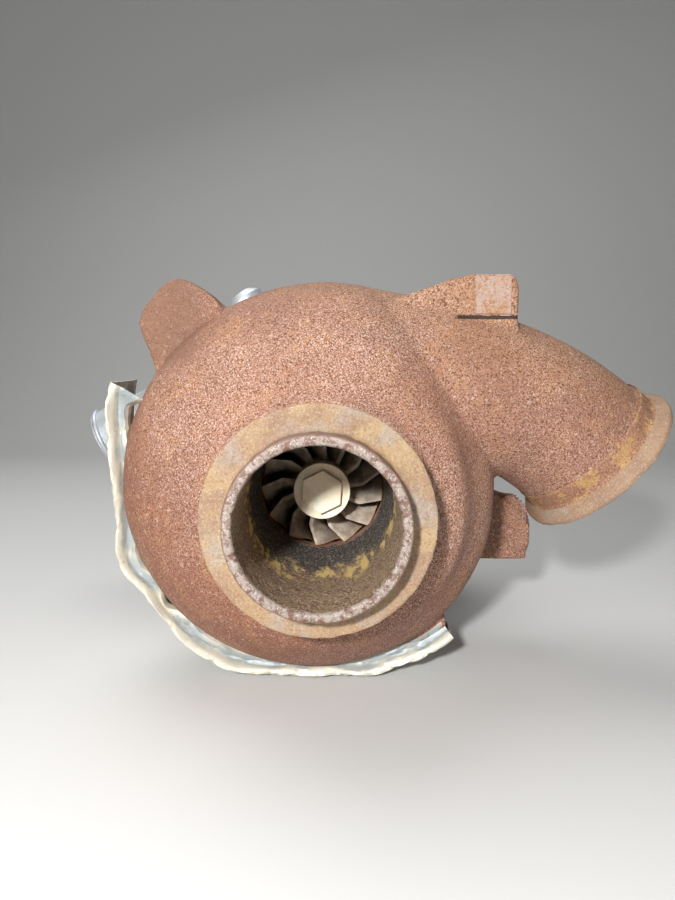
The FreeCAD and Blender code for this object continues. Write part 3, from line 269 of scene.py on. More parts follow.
def rusted_skin(settings):
    """Sand-cast iron with a fine granular coat of rust and pale scale."""
    bench = Bench("rusted_skin")
    grains = bench.noise(1500, 2.0, 0.65)
    specks = bench.noise(1250, 2.0, 0.6, bench.stretched((1, 1, 1), (3, 1, 7)))
    flakes = bench.noise(480, 3.0, 0.65, bench.stretched((1, 1, 1), (5, 8, 2)))
    blotch = bench.noise(24, 4.0, 0.6)
    patches = bench.noise(70, 3.0, 0.6, bench.stretched((1, 1, 1), (9, 2, 4)))
    rim = bench.steps(bench.radius(), 0.080, 0.106)
    low_left = bench.steps(bench.sum(bench.part("Z"), bench.sum(bench.part("X"), 0.7, "MULTIPLY")),
                           0.03, -0.10)
    up_right = bench.sum(bench.part("Z"), bench.sum(bench.part("X"), 0.35, "MULTIPLY"))
    top_right = bench.steps(up_right, 0.075, 0.135)
    tint = bench.mix(bench.steps(blotch, 0.34, 0.66), settings.rust, (0.250, 0.118, 0.070))
    tint = bench.mix(bench.sum(rim, 0.35, "MULTIPLY"), tint, (0.200, 0.086, 0.048))
    tint = bench.mix(bench.sum(low_left, 0.8, "MULTIPLY"), tint, (0.235, 0.088, 0.046))
    tint = bench.mix(bench.sum(top_right, 0.7, "MULTIPLY"), tint, (0.370, 0.195, 0.088))
    tint = bench.mix(bench.sum(bench.steps(patches, 0.50, 0.68), 0.5, "MULTIPLY"), tint,
                     (0.380, 0.185, 0.080))
    tint = bench.mix(bench.sum(bench.steps(flakes, 0.56, 0.66), 0.45, "MULTIPLY"), tint,
                     settings.rust_light)
    drifts = bench.noise(17, 3.0, 0.55, bench.stretched((1, 1, 1), (4, 7, 1)))
    drifts = bench.steps(drifts, 0.36, 0.60)
    share = bench.sum(0.45, bench.sum(drifts, 0.45, "MULTIPLY"))
    share = bench.sum(share, bench.sum(bench.sum(low_left, rim), -0.25, "MULTIPLY"))
    pale = bench.sum(bench.steps(grains, 0.47, 0.64), share, "MULTIPLY")
    tint = bench.mix(pale, tint, settings.rust_light)
    tint = bench.mix(bench.sum(bench.steps(specks, 0.49, 0.64), 0.9, "MULTIPLY"), tint,
                     settings.rust_dark)
    lug = bench.sum(bench.steps(bench.part("X"), -0.050, -0.066),
                    bench.steps(bench.part("Z"), 0.060, 0.070), "MULTIPLY")
    tint = bench.mix(bench.sum(lug, 0.55, "MULTIPLY"), tint, (0.175, 0.092, 0.055))
    # painted shadow: a near-black band in the slot under the milled pad, where the pad's shadow
    # falls
    slot = bench.sum(bench.steps(bench.part("Z"), SLOT_Z[0], SLOT_Z[0] + 0.0005),
                     bench.steps(bench.part("Z"), SLOT_Z[1], SLOT_Z[1] - 0.0008), "MULTIPLY")
    slot = bench.sum(slot, bench.steps(bench.part("X"), SLOT_X[0], SLOT_X[0] + 0.0030), "MULTIPLY")
    slot = bench.sum(slot, bench.steps(bench.part("X"), SLOT_X[1], SLOT_X[1] - 0.0015), "MULTIPLY")
    slot = bench.sum(slot, bench.steps(bench.part("Y"), SLOT_BACK_Y, SLOT_BACK_Y - 0.0040),
                     "MULTIPLY")
    tint = bench.mix(bench.sum(slot, 0.92, "MULTIPLY"), tint, (0.016, 0.009, 0.006))
    bench.bump((bench.noise(110, 3.0), 0.0006, 0.45), (flakes, 0.0004, 0.5),
               (grains, 0.00022, 0.8))
    return bench.finish(tint, bench.sum(0.66, bench.sum(grains, 0.25, "MULTIPLY")), 0.0)


def ochre_skin(name, tone):
    """Turned flange under yellow-brown rust, rubbed grey and brown in places."""
    bench = Bench(name)
    grains = bench.noise(1100, 3.0, 0.65)
    clouds = bench.noise(48, 4.0, 0.65, None, 0.4)
    rubbed = bench.noise(34, 4.0, 0.6, bench.stretched((1, 1, 1), (2, 6, 9)))
    tint = bench.mix(bench.steps(clouds, 0.40, 0.62), tone, (0.290, 0.180, 0.115))
    low = bench.steps(bench.part("Z"), 0.0, -0.045)
    tint = bench.mix(bench.sum(low, 0.45, "MULTIPLY"), tint, (0.300, 0.180, 0.100))
    tint = bench.mix(bench.sum(bench.steps(rubbed, 0.50, 0.62), 0.8, "MULTIPLY"), tint,
                     (0.330, 0.275, 0.225))
    tint = bench.mix(bench.sum(bench.steps(grains, 0.54, 0.66), 0.5, "MULTIPLY"), tint,
                     (0.500, 0.400, 0.300))
    tint = bench.mix(bench.sum(bench.steps(grains, 0.46, 0.34), 0.7, "MULTIPLY"), tint,
                     (0.240, 0.120, 0.065))
    bench.bump((clouds, 0.0008, 0.4), (grains, 0.00025, 0.7))
    return bench.finish(tint, 0.74)


def worn_lip_skin(settings):
    """Raised lip with worn pinkish-grey scale, pits and a brown rim."""
    bench = Bench("worn_lip_skin")
    chips = bench.noise(300, 4.0, 0.7, None, 0.6)
    fine = bench.noise(1300, 2.0, 0.6)
    tint = bench.mix(bench.steps(chips, 0.42, 0.56), (0.180, 0.112, 0.083), (0.320, 0.258, 0.222))
    tint = bench.mix(bench.sum(bench.steps(fine, 0.55, 0.66), 0.85, "MULTIPLY"), tint,
                     (0.500, 0.440, 0.395))
    tint = bench.mix(bench.steps(bench.noise(230, 4.0), 0.54, 0.64), tint, (0.150, 0.075, 0.048))
    rim = bench.steps(bench.radius(), LIP_R - 0.0016, LIP_R - 0.0004)
    tint = bench.mix(bench.sum(rim, 0.85, "MULTIPLY"), tint, (0.200, 0.105, 0.070))
    bench.bump((chips, 0.0006, 0.8), (fine, 0.0002, 0.7))
    return bench.finish(tint, 0.55, 0.1)


def sooty_bore_skin():
    """Exhaust bore: sparkling grey soot deep inside, ochre flecks, brown outer part."""
    bench = Bench("sooty_bore_skin")
    wobble = bench.sum(bench.sum(bench.noise(45, 3.0, 0.6), -0.5), 0.05, "MULTIPLY")
    place = bench.sum(bench.part("Y"), wobble)
    grains = bench.noise(900, 3.0, 0.65)
    streaks = bench.noise(230, 4.0, 0.65, bench.stretched((1.0, 0.35, 1.0)))
    outer = bench.mix(bench.steps(grains, 0.44, 0.60), (0.150, 0.088, 0.055), (0.440, 0.310, 0.205))
    outer = bench.mix(bench.steps(bench.noise(130, 3.0), 0.52, 0.64), outer, (0.280, 0.200, 0.110))
    soot = bench.mix(bench.steps(grains, 0.52, 0.66), (0.045, 0.038, 0.032), (0.330, 0.290, 0.245))
    tint = bench.mix(bench.steps(place, 0.030, 0.052), outer, soot)
    ring = bench.sum(bench.steps(place, 0.022, 0.036), bench.steps(place, 0.056, 0.042), "MULTIPLY")
    flecks = bench.sum(bench.sum(ring, 0.9, "MULTIPLY"), bench.steps(streaks, 0.46, 0.58),
                       "MULTIPLY")
    tint = bench.mix(flecks, tint, (0.720, 0.520, 0.200))
    bench.bump((streaks, 0.0006, 0.6), (grains, 0.0004, 0.9))
    return bench.finish(tint, 0.78)


def collar_skin(settings):
    """Machined collar behind the inlet flange: rust with orange patches."""
    bench = Bench("collar_skin")
    grains = bench.noise(1100, 3.0, 0.65)
    clouds = bench.noise(95, 4.0, 0.65)
    tint = bench.mix(bench.steps(clouds, 0.40, 0.50), (0.400, 0.225, 0.090), (0.270, 0.128, 0.078))
    tint = bench.mix(bench.sum(bench.steps(grains, 0.52, 0.64), 0.6, "MULTIPLY"), tint,
                     (0.520, 0.360, 0.190))
    tint = bench.mix(bench.sum(bench.steps(grains, 0.44, 0.34), 0.7, "MULTIPLY"), tint,
                     settings.rust_dark)
    bench.bump((clouds, 0.0005, 0.5), (grains, 0.00025, 0.8))
    return bench.finish(tint, 0.78)


def pad_skin(settings):
    """Milled pad: pale scale with orange rust blooms."""
    bench = Bench("pad_skin")
    grains = bench.noise(1200, 3.0, 0.65)
    blooms = bench.noise(330, 4.0, 0.6, bench.stretched((1.0, 1.0, 0.8)))
    tint = bench.mix(bench.steps(blooms, 0.46, 0.62), (0.390, 0.262, 0.205), (0.360, 0.185, 0.085))
    tint = bench.mix(bench.sum(bench.steps(grains, 0.54, 0.66), 0.5, "MULTIPLY"), tint,
                     (0.490, 0.385, 0.330))
    tint = bench.mix(bench.sum(bench.steps(grains, 0.44, 0.34), 0.6, "MULTIPLY"), tint,
                     settings.rust_dark)
    bench.bump((blooms, 0.0003, 0.4), (grains, 0.0002, 0.7))
    return bench.finish(tint, 0.62)


def heat_browned_skin(name, tone, pale, rough=0.5):
    """Nickel alloy or steel browned by exhaust heat."""
    bench = Bench(name)
    clouds = bench.noise(120, 4.0, 0.6)
    fine = bench.noise(1400, 2.0, 0.5)
    tint = bench.mix(bench.steps(clouds, 0.36, 0.64), tone, pale)
    tint = bench.mix(bench.sum(bench.steps(fine, 0.55, 0.7), 0.35, "MULTIPLY"), tint,
                     tuple(0.45 * c for c in tone))
    bench.bump((clouds, 0.0002, 0.4), (fine, 0.00008, 0.7))
    return bench.finish(tint, rough, 0.35)


def hexagon_reach(bench, turn):
    """Distance from the shaft measured across the nearest of a hexagon's flats."""
    x, z = bench.part("X"), bench.part("Z")
    reach = None
    for side in range(3):
        angle = math.radians(turn + 60 * side)
        across = bench.sum(bench.sum(x, math.cos(angle), "MULTIPLY"),
                           bench.sum(z, math.sin(angle), "MULTIPLY"))
        across = bench.sum(across, 0.0, "ABSOLUTE")
        reach = across if reach is None else bench.sum(reach, across, "MAXIMUM")
    return reach


def wheel_skin():
    """Turbine wheel: cream oxide on the nose, grey-brown blades, ochre at the tips."""
    bench = Bench("wheel_skin")
    clouds = bench.noise(130, 4.0, 0.6)
    fine = bench.noise(1400, 2.0, 0.6)
    reach = bench.radius()
    depth = bench.part("Y")
    blades = bench.mix(bench.steps(clouds, 0.38, 0.62), (0.330, 0.262, 0.200),
                       (0.560, 0.470, 0.375))
    # painted shade: blades darken to near black deeper than the exducer edge, in the shaded gaps
    # between them
    deep = bench.steps(depth, 0.084, 0.100)
    blades = bench.mix(bench.sum(deep, 0.8, "MULTIPLY"), blades, (0.060, 0.045, 0.035))
    tips = bench.steps(bench.sum(reach, bench.sum(clouds, 0.004, "MULTIPLY")), 0.0325, 0.0350)
    blades = bench.mix(bench.sum(tips, 0.7, "MULTIPLY"), blades, (0.480, 0.270, 0.100))
    nose = bench.mix(bench.steps(clouds, 0.35, 0.65), (1.000, 0.930, 0.740),
                     (0.930, 0.790, 0.580))
    hexagon = hexagon_reach(bench, NOSE_HEX_TURN)
    half = NOSE_HEX_FLATS / 2
    line = bench.sum(bench.steps(hexagon, half - 0.0004, half),
                     bench.steps(hexagon, half + 0.0007, half + 0.0002), "MULTIPLY")
    nose = bench.mix(bench.sum(line, 0.4, "MULTIPLY"), nose, (0.420, 0.290, 0.180))
    on_nose = bench.sum(bench.steps(reach, NOSE_R + 0.0006, NOSE_R - 0.0006),
                        bench.steps(depth, 0.080, 0.075), "MULTIPLY")
    tint = bench.mix(on_nose, blades, nose)
    tint = bench.mix(bench.sum(bench.steps(fine, 0.56, 0.7), 0.3, "MULTIPLY"), tint,
                     (0.150, 0.100, 0.065))
    bench.bump((clouds, 0.0002, 0.5), (fine, 0.0001, 0.8))
    return bench.finish(tint, 0.6, 0.0)


def aluminium_skin(name, tone, sand=True):
    """Aluminium: sand-cast grain or turned lines, dulled by oxide and grime."""
    bench = Bench(name)
    grains = bench.noise(800, 3.0, 0.6)
    clouds = bench.noise(40, 4.0, 0.6)
    tint = bench.mix(bench.steps(clouds, 0.35, 0.7), tone, tuple(0.72 * c for c in tone))
    tint = bench.mix(bench.sum(bench.steps(grains, 0.56, 0.7), 0.4, "MULTIPLY"), tint,
                     (0.30, 0.29, 0.27))
    if sand:
        grime = bench.steps(bench.noise(22, 5.0, 0.7, bench.stretched((1, 1, 0.6))), 0.48, 0.68)
        tint = bench.mix(bench.sum(grime, 0.55, "MULTIPLY"), tint, (0.165, 0.145, 0.120))
        bench.bump((bench.noise(160, 3.0), 0.0004, 0.5), (grains, 0.00025, 0.9))
        return bench.finish(tint, bench.sum(0.50, bench.sum(grime, 0.2, "MULTIPLY")), 0.6)
    bench.bump((bench.rings(900, "Y", 0.4), 0.00006, 0.5), (grains, 0.00005, 0.4))
    return bench.finish(tint, 0.3, 0.85)


def steel_skin(name, tone, rough=0.35, rust=0.0):
    """Turned or plated steel with fine marks and, if asked, rust blooms."""
    bench = Bench(name)
    marks = bench.noise(1500, 2.0, 0.6, bench.stretched((1.0, 0.15, 1.0)))
    clouds = bench.noise(150, 4.0, 0.6)
    tint = bench.mix(bench.steps(clouds, 0.35, 0.65), tone, tuple(0.75 * c for c in tone))
    if rust:
        bloom = bench.sum(bench.steps(bench.noise(260, 4.0, 0.7), 0.62 - 0.3 * rust, 0.7), rust,
                          "MULTIPLY")
        tint = bench.mix(bloom, tint, (0.27, 0.125, 0.06))
    bench.bump((marks, 0.00006, 0.5), (clouds, 0.0001, 0.3))
    return bench.finish(tint, rough + 0.3 * rust, 0.9 - 0.6 * rust)


def grey_iron_skin():
    """Bearing housing: grey iron, brown film and dark oil stains."""
    bench = Bench("grey_iron_skin")
    grains = bench.noise(650, 3.0, 0.6)
    clouds = bench.noise(34, 4.0, 0.6)
    tint = bench.mix(bench.steps(clouds, 0.4, 0.6), (0.20, 0.16, 0.13), (0.30, 0.20, 0.14))
    tint = bench.mix(bench.steps(bench.noise(50, 3.0), 0.56, 0.7), tint, (0.07, 0.055, 0.045))
    tint = bench.mix(bench.sum(bench.steps(grains, 0.56, 0.68), 0.5, "MULTIPLY"), tint,
                     (0.42, 0.33, 0.26))
    bench.bump((bench.noise(110, 3.0), 0.0004, 0.5), (grains, 0.0003, 0.8))
    return bench.finish(tint, 0.68, 0.2)


def shield_skin(settings):
    """Aluminised sheet: blue-grey metal, cream on the folds and creases, brown spots."""
    bench = Bench("shield_skin")
    fold = bench.nodes.new("ShaderNodeAttribute")
    fold.attribute_name = "fold"
    clouds = bench.noise(60, 4.0, 0.6, None, 0.5)
    fine = bench.noise(900, 3.0, 0.6)
    tint = bench.mix(bench.sum(bench.steps(clouds, 0.45, 0.62), 0.55, "MULTIPLY"), settings.metal,
                     (0.440, 0.440, 0.400))
    cream = bench.steps(bench.sum(fold.outputs["Fac"], bench.sum(bench.sum(clouds, -0.5), 1.1,
                        "MULTIPLY")), 0.30, 1.00)
    tint = bench.mix(cream, tint, settings.stain)
    spots = bench.steps(bench.noise(240, 4.0, 0.7), 0.60, 0.72)
    tint = bench.mix(bench.sum(spots, 0.55, "MULTIPLY"), tint, (0.300, 0.205, 0.125))
    tint = bench.mix(bench.sum(bench.steps(fine, 0.56, 0.7), 0.25, "MULTIPLY"), tint,
                     (0.210, 0.200, 0.180))
    bench.bump((bench.noise(150, 4.0), 0.0006, 0.5), (fine, 0.00012, 0.6))
    return bench.finish(tint, bench.sum(0.38, bench.sum(clouds, 0.3, "MULTIPLY")), 0.3)


def rubber_skin():
    """Black rubber with a faint grain."""
    bench = Bench("rubber_skin")
    fine = bench.noise(1200, 2.0)
    bench.bump((fine, 0.00005, 0.5))
    return bench.finish(bench.mix(fine, (0.015, 0.015, 0.016), (0.04, 0.04, 0.04)), 0.5)


# ---- mesh helpers --------------------------------------------------------
def piece_from(name, mesh, body, materials, replaces=()):
    """Adds a finished mesh as a piece of the object."""
    piece = bpy.data.objects.new(name, mesh)
    bpy.context.scene.collection.objects.link(piece)
    picks = [face.material_index for face in mesh.polygons]
    mesh.materials.clear()
    for material in materials:
        mesh.materials.append(material)
    mesh.polygons.foreach_set("material_index", [min(i, len(materials) - 1) for i in picks])
    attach(piece, body)
    if replaces:
        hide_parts(*replaces)
    return piece


def settle(work):
    """Plain mesh of an object with its modifiers applied; the object is removed."""
    bpy.context.view_layer.update()
    graph = bpy.context.evaluated_depsgraph_get()
    mesh = bpy.data.meshes.new_from_object(work.evaluated_get(graph), depsgraph=graph)
    bpy.data.objects.remove(work)
    return mesh


def shade(mesh, angle):
    """Smooth shading, sharp where faces meet at more than angle radians."""
    mesh.polygons.foreach_set("use_smooth", [True] * len(mesh.polygons))
    mesh.set_sharp_from_angle(angle=angle)


def dress(node, material):
    """Gives a CAD node a finished material in every slot."""
    thing = frame["nodes"][node]
    if not thing.material_slots:
        thing.data.materials.append(material)
    for slot in thing.material_slots:
        slot.material = material


def lathe(name, outline, around=288):
    """Turned mesh about the shaft from (radius, y, material) points, bore first, in metres."""
    mesh = bpy.data.meshes.new(name)
    shape = bmesh.new()
    rows = []
    for radius, y, _ in outline:
        rows.append([shape.verts.new((radius * math.cos(2 * math.pi * i / around), y,
                                      radius * math.sin(2 * math.pi * i / around)))
                     for i in range(around)])
    for row, (near, far) in enumerate(zip(rows, rows[1:])):
        for i in range(around):
            j = (i + 1) % around
            face = shape.faces.new((near[i], far[i], far[j], near[j]))
            face.material_index = outline[row + 1][2]
    shape.to_mesh(mesh)
    shape.free()
    return mesh


def dense(points, step=0.0009):
    """Adds points so that no stretch of an outline is longer than step."""
    filled = [points[0]]
    for (r0, y0, _), (r1, y1, skin) in zip(points, points[1:]):
        count = max(1, math.ceil(math.hypot(r1 - r0, y1 - y0) / step))
        for i in range(1, count + 1):
            filled.append((r0 + (r1 - r0) * i / count, y0 + (y1 - y0) * i / count, skin))
    return filled


def roughened(mesh, depth_of):
    """Moves each point inwards along its normal by depth_of(point)."""
    moves = [(v.co + v.normal * -depth_of(v.co)) for v in mesh.vertices]
    for vertex, place in zip(mesh.vertices, moves):
        vertex.co = place
    mesh.update()


def grit(point, scale, seed=0.0):
    """Noise from 0 to 1 at a place in metres."""
    return 0.5 + 0.5 * noise.noise(point * scale + Vector((seed, seed, seed)))


# ---- the cast housing ----------------------------------------------------
def in_turned_end(point):
    """True where a turned end replaces the casting's rounded skin."""
    radius = math.hypot(point.x, point.z)
    at_front = point.y < FRONT_END_Y and radius < FRONT_END_R
    in_bore = point.y < BORE_END_Y and radius < BORE_END_R
    reach = point - INLET_FACE
    along = reach.dot(INLET_OUT)
    across = (reach - INLET_OUT * along).length
    return at_front or in_bore or (along > -INLET_END_DEPTH and across < INLET_END_R)


def make_casting(settings):
    copy = frame["nodes"]["turbine_housing"].data.copy()
    shape = bmesh.new()
    shape.from_mesh(copy)
    bmesh.ops.remove_doubles(shape, verts=shape.verts, dist=MERGE_DISTANCE)
    shape.to_mesh(copy)
    shape.free()
    work = bpy.data.objects.new("casting_work", copy)
    bpy.context.scene.collection.objects.link(work)
    remesh = work.modifiers.new("cells", "REMESH")
    remesh.mode = "VOXEL"
    remesh.voxel_size = settings.voxel
    smooth = work.modifiers.new("fillets", "SMOOTH")
    smooth.factor = 0.5
    smooth.iterations = settings.rounding
    mesh = settle(work)
    shape = bmesh.new()
    shape.from_mesh(mesh)
    gone = [face for face in shape.faces if in_turned_end(face.calc_center_median())]
    bmesh.ops.delete(shape, geom=gone, context="FACES")
    shape.to_mesh(mesh)
    shape.free()
    mesh.update()
    roughened(mesh, lambda p: 0.00022 * grit(p, 420) + 0.00035 * grit(p, 60, 5))
    shade(mesh, SMOOTH_ALL)
    return piece_from("cast_housing", mesh, "casing", [rusted_skin(settings)],
                      ["turbine_housing"])


def make_outlet_end(settings):
    """Bore, raised lip and V-band flange of the exhaust outlet, turned in one."""
    outline = [
        (0.0327, WHEEL_PLANE_Y + 0.002, 0), (0.0327, WHEEL_PLANE_Y - 0.002, 0),
        (0.0336, 0.070, 0), (0.0347, 0.052, 0), (0.0348, 0.036, 0), (0.0342, 0.022, 0),
        (BORE_R, 0.010, 0), (BORE_R, LIP_Y + 0.0016, 0), (BORE_R + 0.0006, LIP_Y + 0.0004, 1),
        (BORE_R + 0.0014, LIP_Y, 1), (LIP_R - 0.0012, LIP_Y, 1),
        (LIP_R - 0.0003, LIP_Y + 0.0005, 1), (LIP_R, LIP_Y + 0.0014, 1),
        (LIP_R, -0.0018, 1), (LIP_R + 0.0006, -0.0006, 2), (LIP_R + 0.0018, 0.0, 2),
        (FLANGE_R - 0.0010, 0.0, 2), (FLANGE_R - 0.0002, 0.0004, 2), (FLANGE_R, 0.0012, 2),
        (FLANGE_R, 0.0026, 2), (FLANGE_R - 0.0006, 0.0034, 2), (0.0434, 0.0084, 2),
        (0.0427, 0.0098, 3), (0.0425, COLLAR_END_Y, 3), (0.0400, COLLAR_END_Y + 0.001, 3),
    ]
    mesh = lathe("outlet_end", dense(outline))

    def wear(point):
        radius = math.hypot(point.x, point.z)
        chips = max(0.0, grit(point, 160, 2) - 0.58) * 0.0022
        lumps = 0.00045 * grit(point, 300, 4)
        on_rim = 1.0 if radius > LIP_R - 0.002 else 0.45
        return chips * on_rim + lumps

    roughened(mesh, wear)
    shade(mesh, 0.9)
    skins = [sooty_bore_skin(), worn_lip_skin(settings),
             ochre_skin("ochre_skin", settings.ochre), rusted_skin(settings)]
    return piece_from("outlet_end", mesh, "casing", skins)


def make_inlet_end(settings):
    """V-band flange, collar and mouth of the exhaust inlet, turned about the inlet's axis."""
    rim = INLET_FLANGE_R
    collar = INLET_COLLAR_R
    outline = [
        (INLET_BORE_R, 0.0160, 0), (INLET_BORE_R, 0.0012, 0), (INLET_BORE_R + 0.0010, 0.0, 1),
        (rim - 0.0010, 0.0, 1), (rim - 0.0002, 0.0004, 1), (rim, 0.0012, 1), (rim, 0.0028, 1),
        (rim - 0.0006, 0.0036, 1), (collar + 0.0010, 0.0078, 1), (collar + 0.0002, 0.0088, 2),
        (collar, 0.0110, 2), (collar, 0.0168, 2), (collar - 0.0006, 0.0175, 2),
    ]
    mesh = lathe("inlet_end", dense(outline), 240)
    place = Vector((0, 1, 0)).rotation_difference(-INLET_OUT).to_matrix().to_4x4()
    place.translation = INLET_FACE
    mesh.transform(place)
    mesh.update()
    roughened(mesh, lambda p: 0.0004 * grit(p, 300, 4) + 0.0016 * max(0.0, grit(p, 150, 6) - 0.6))
    shade(mesh, 0.9)
    skins = [sooty_bore_skin(), ochre_skin("inlet_flange_skin", (0.345, 0.222, 0.140)),
             collar_skin(settings)]
    return piece_from("inlet_end", mesh, "casing", skins)


def make_pad():
    """Milled pad on the upper right lug, with a bevelled edge and scaled face."""
    mesh = bpy.data.meshes.new("milled_pad")
    shape = bmesh.new()
    bmesh.ops.create_cube(shape, size=1.0)
    for vertex in shape.verts:
        vertex.co = Vector([PAD_LOW[i] + (vertex.co[i] + 0.5) * (PAD_HIGH[i] - PAD_LOW[i])
                            for i in range(3)])
    bmesh.ops.bevel(shape, geom=shape.edges[:], offset=0.0009, segments=3, affect="EDGES")
    bmesh.ops.subdivide_edges(shape, edges=shape.edges[:], cuts=5, use_grid_fill=True)
    bmesh.ops.recalc_face_normals(shape, faces=shape.faces)
    shape.to_mesh(mesh)
    shape.free()
    roughened(mesh, lambda p: 0.0004 * grit(p, 230, 3))
    shade(mesh, 0.7)
    return mesh


# ---- heat shield ---------------------------------------------------------
SHIELD_STEPS = 420
PINCH_AT = 216
PINCH_ANGLE = 3.6
FLAP_ANGLE = 2.6
FLOOR_GAP = 0.0006

# (angle round the shaft in degrees, radius in metres)
SHIELD_OUTLINE = (
    (151.5, 0.1190), (162.0, 0.1135), (175.0, 0.1070), (188.0, 0.1062), (200.0, 0.1110),
    (209.0, 0.1065), (220.0, 0.1070), (231.0, 0.1075), (243.0, 0.1065), (253.0, 0.1015),
    (270.0, 0.0970), (285.0, 0.1002), (297.0, 0.1015), (305.0, 0.1020), (312.0, 0.1025),
)


def shield_reach(angle):
    """Radius of the shield at an angle round the shaft, smooth between the named places."""
    places = SHIELD_OUTLINE
    for i in range(len(places) - 1):
        a1, r1 = places[i]
        a2, r2 = places[i + 1]
        if angle <= a2 or i == len(places) - 2:
            a0, r0 = places[max(i - 1, 0)]
            a3, r3 = places[min(i + 2, len(places) - 1)]
            t = (angle - a1) / (a2 - a1)
            m1 = (r2 - r0) / (a2 - a0) * (a2 - a1)
            m2 = (r3 - r1) / (a3 - a1) * (a2 - a1)
            return ((2 * t**3 - 3 * t**2 + 1) * r1 + (t**3 - 2 * t**2 + t) * m1
                    + (-2 * t**3 + 3 * t**2) * r2 + (t**3 - t**2) * m2)
    return places[-1][1]


def crease(place):
    """1 on the sharp borders between facets, falling in flats to 0 at their middles."""
    near = noise.voronoi(place, distance_metric="DISTANCE", exponent=2.5)[0]
    border = max(0.0, 1.0 - (near[1] - near[0]) / 0.22)
    return 0.45 * border + 0.55 * min(1.0, near[0] / 0.75)


def make_shield(settings):
    """Creased channel of thin sheet: hem at the casting, beaded rim, rounded corner, skirt."""
    front = SHIELD_LOW.y
    back = SHIELD_HIGH.y
    web = [(-0.0112, 0.0075), (-0.0106, 0.0050), (-0.0096, 0.0038), (-0.0082, 0.0040),
           (-0.0068, 0.0044), (-0.0055, 0.0042), (-0.0044, 0.0034), (-0.0036, 0.0020)]
    bead = [(-0.0029, 0.0012), (-0.0021, 0.0007), (-0.0013, 0.0003), (-0.0005, 0.0002),
            (-0.0001, 0.0012), (-0.0004, 0.0030), (-0.0010, 0.0050), (-0.0008, 0.0070)]
    skirt = [(-0.0004, 0.0080 + (back - front - 0.0090) * i / 18) for i in range(1, 19)]
    profile = web + bead + skirt
    folds = [0.6, 0.45, 0.2, 0.0, 0.0, 0.0, 0.1, 0.35] + [0.75] * 6 + [0.5, 0.3] + [0.2] * 18
    first, last = SHIELD_OUTLINE[0][0], SHIELD_OUTLINE[-1][0]
    mesh = bpy.data.meshes.new("heat_shield_sheet")
    shape = bmesh.new()
    fold_layer = shape.verts.layers.float.new("fold")
    rows = []
    for i in range(SHIELD_STEPS + 1):
        angle = first + (last - first) * i / SHIELD_STEPS
        turn = math.radians(angle)
        reach = shield_reach(angle)
        outward = Vector((math.cos(turn), 0, math.sin(turn)))
        pinch = math.exp(-((angle - PINCH_AT) / PINCH_ANGLE) ** 2)
        width = 1.0 - 0.22 * (0.5 + 0.5 * noise.noise(Vector((angle * 0.06, 2.0, 7.0))))
        row = []
        for (inset, depth), fold in zip(profile, folds):
            flap = math.exp(-((angle - first) / FLAP_ANGLE) ** 2)
            flap *= min(1.0, max(0.0, -inset - 0.002) / 0.006)
            place = outward * (reach + inset * width * (1 - 0.6 * pinch) * (1 + 0.85 * flap))
            place.y = front + depth - 0.0050 * flap
            sheet = Vector((angle * 0.085, (inset * 6 + depth) * 46, 3.0))
            sharp = crease(sheet)
            small = crease(sheet * 2.1 + Vector((7, 3, 1)))
            wave = noise.noise(Vector((angle * 0.07, depth * 18, 1.0)))
            dent = settings.crumple * (0.40 * sharp + 0.12 * small + 0.50 * max(0.0, wave))
            place -= outward * (dent + 0.0012 * pinch)
            sway = noise.noise(Vector((angle * 0.08, inset * 110, 5.0)))
            push = 0.0012 + 0.0012 * sway + 0.0004 * small + 0.0012 * sharp
            place.y += push * (1.0 if depth < 0.03 else 0.25)
            vertex = shape.verts.new(place)
            vertex[fold_layer] = min(1.0, fold + 0.45 * sharp + 0.25 * small + pinch)
            row.append(vertex)
        rows.append(row)
    for near, far in zip(rows, rows[1:]):
        for i in range(len(profile) - 1):
            shape.faces.new((near[i], near[i + 1], far[i + 1], far[i]))
    bmesh.ops.recalc_face_normals(shape, faces=shape.faces)
    for vertex in shape.verts:
        vertex.co.z = max(vertex.co.z, FLOOR_Z + FLOOR_GAP)
        vertex.co.y = min(vertex.co.y, back - FLOOR_GAP)
    shape.to_mesh(mesh)
    shape.free()
    work = bpy.data.objects.new("shield_work", mesh)
    bpy.context.scene.collection.objects.link(work)
    solid = work.modifiers.new("sheet", "SOLIDIFY")
    solid.thickness = settings.thickness
    solid.offset = 0.0
    finished = settle(work)
    shade(finished, 0.42)
    return piece_from("heat_shield_sheet", finished, "casing",
                      [shield_skin(settings)], ["heat_shield"])


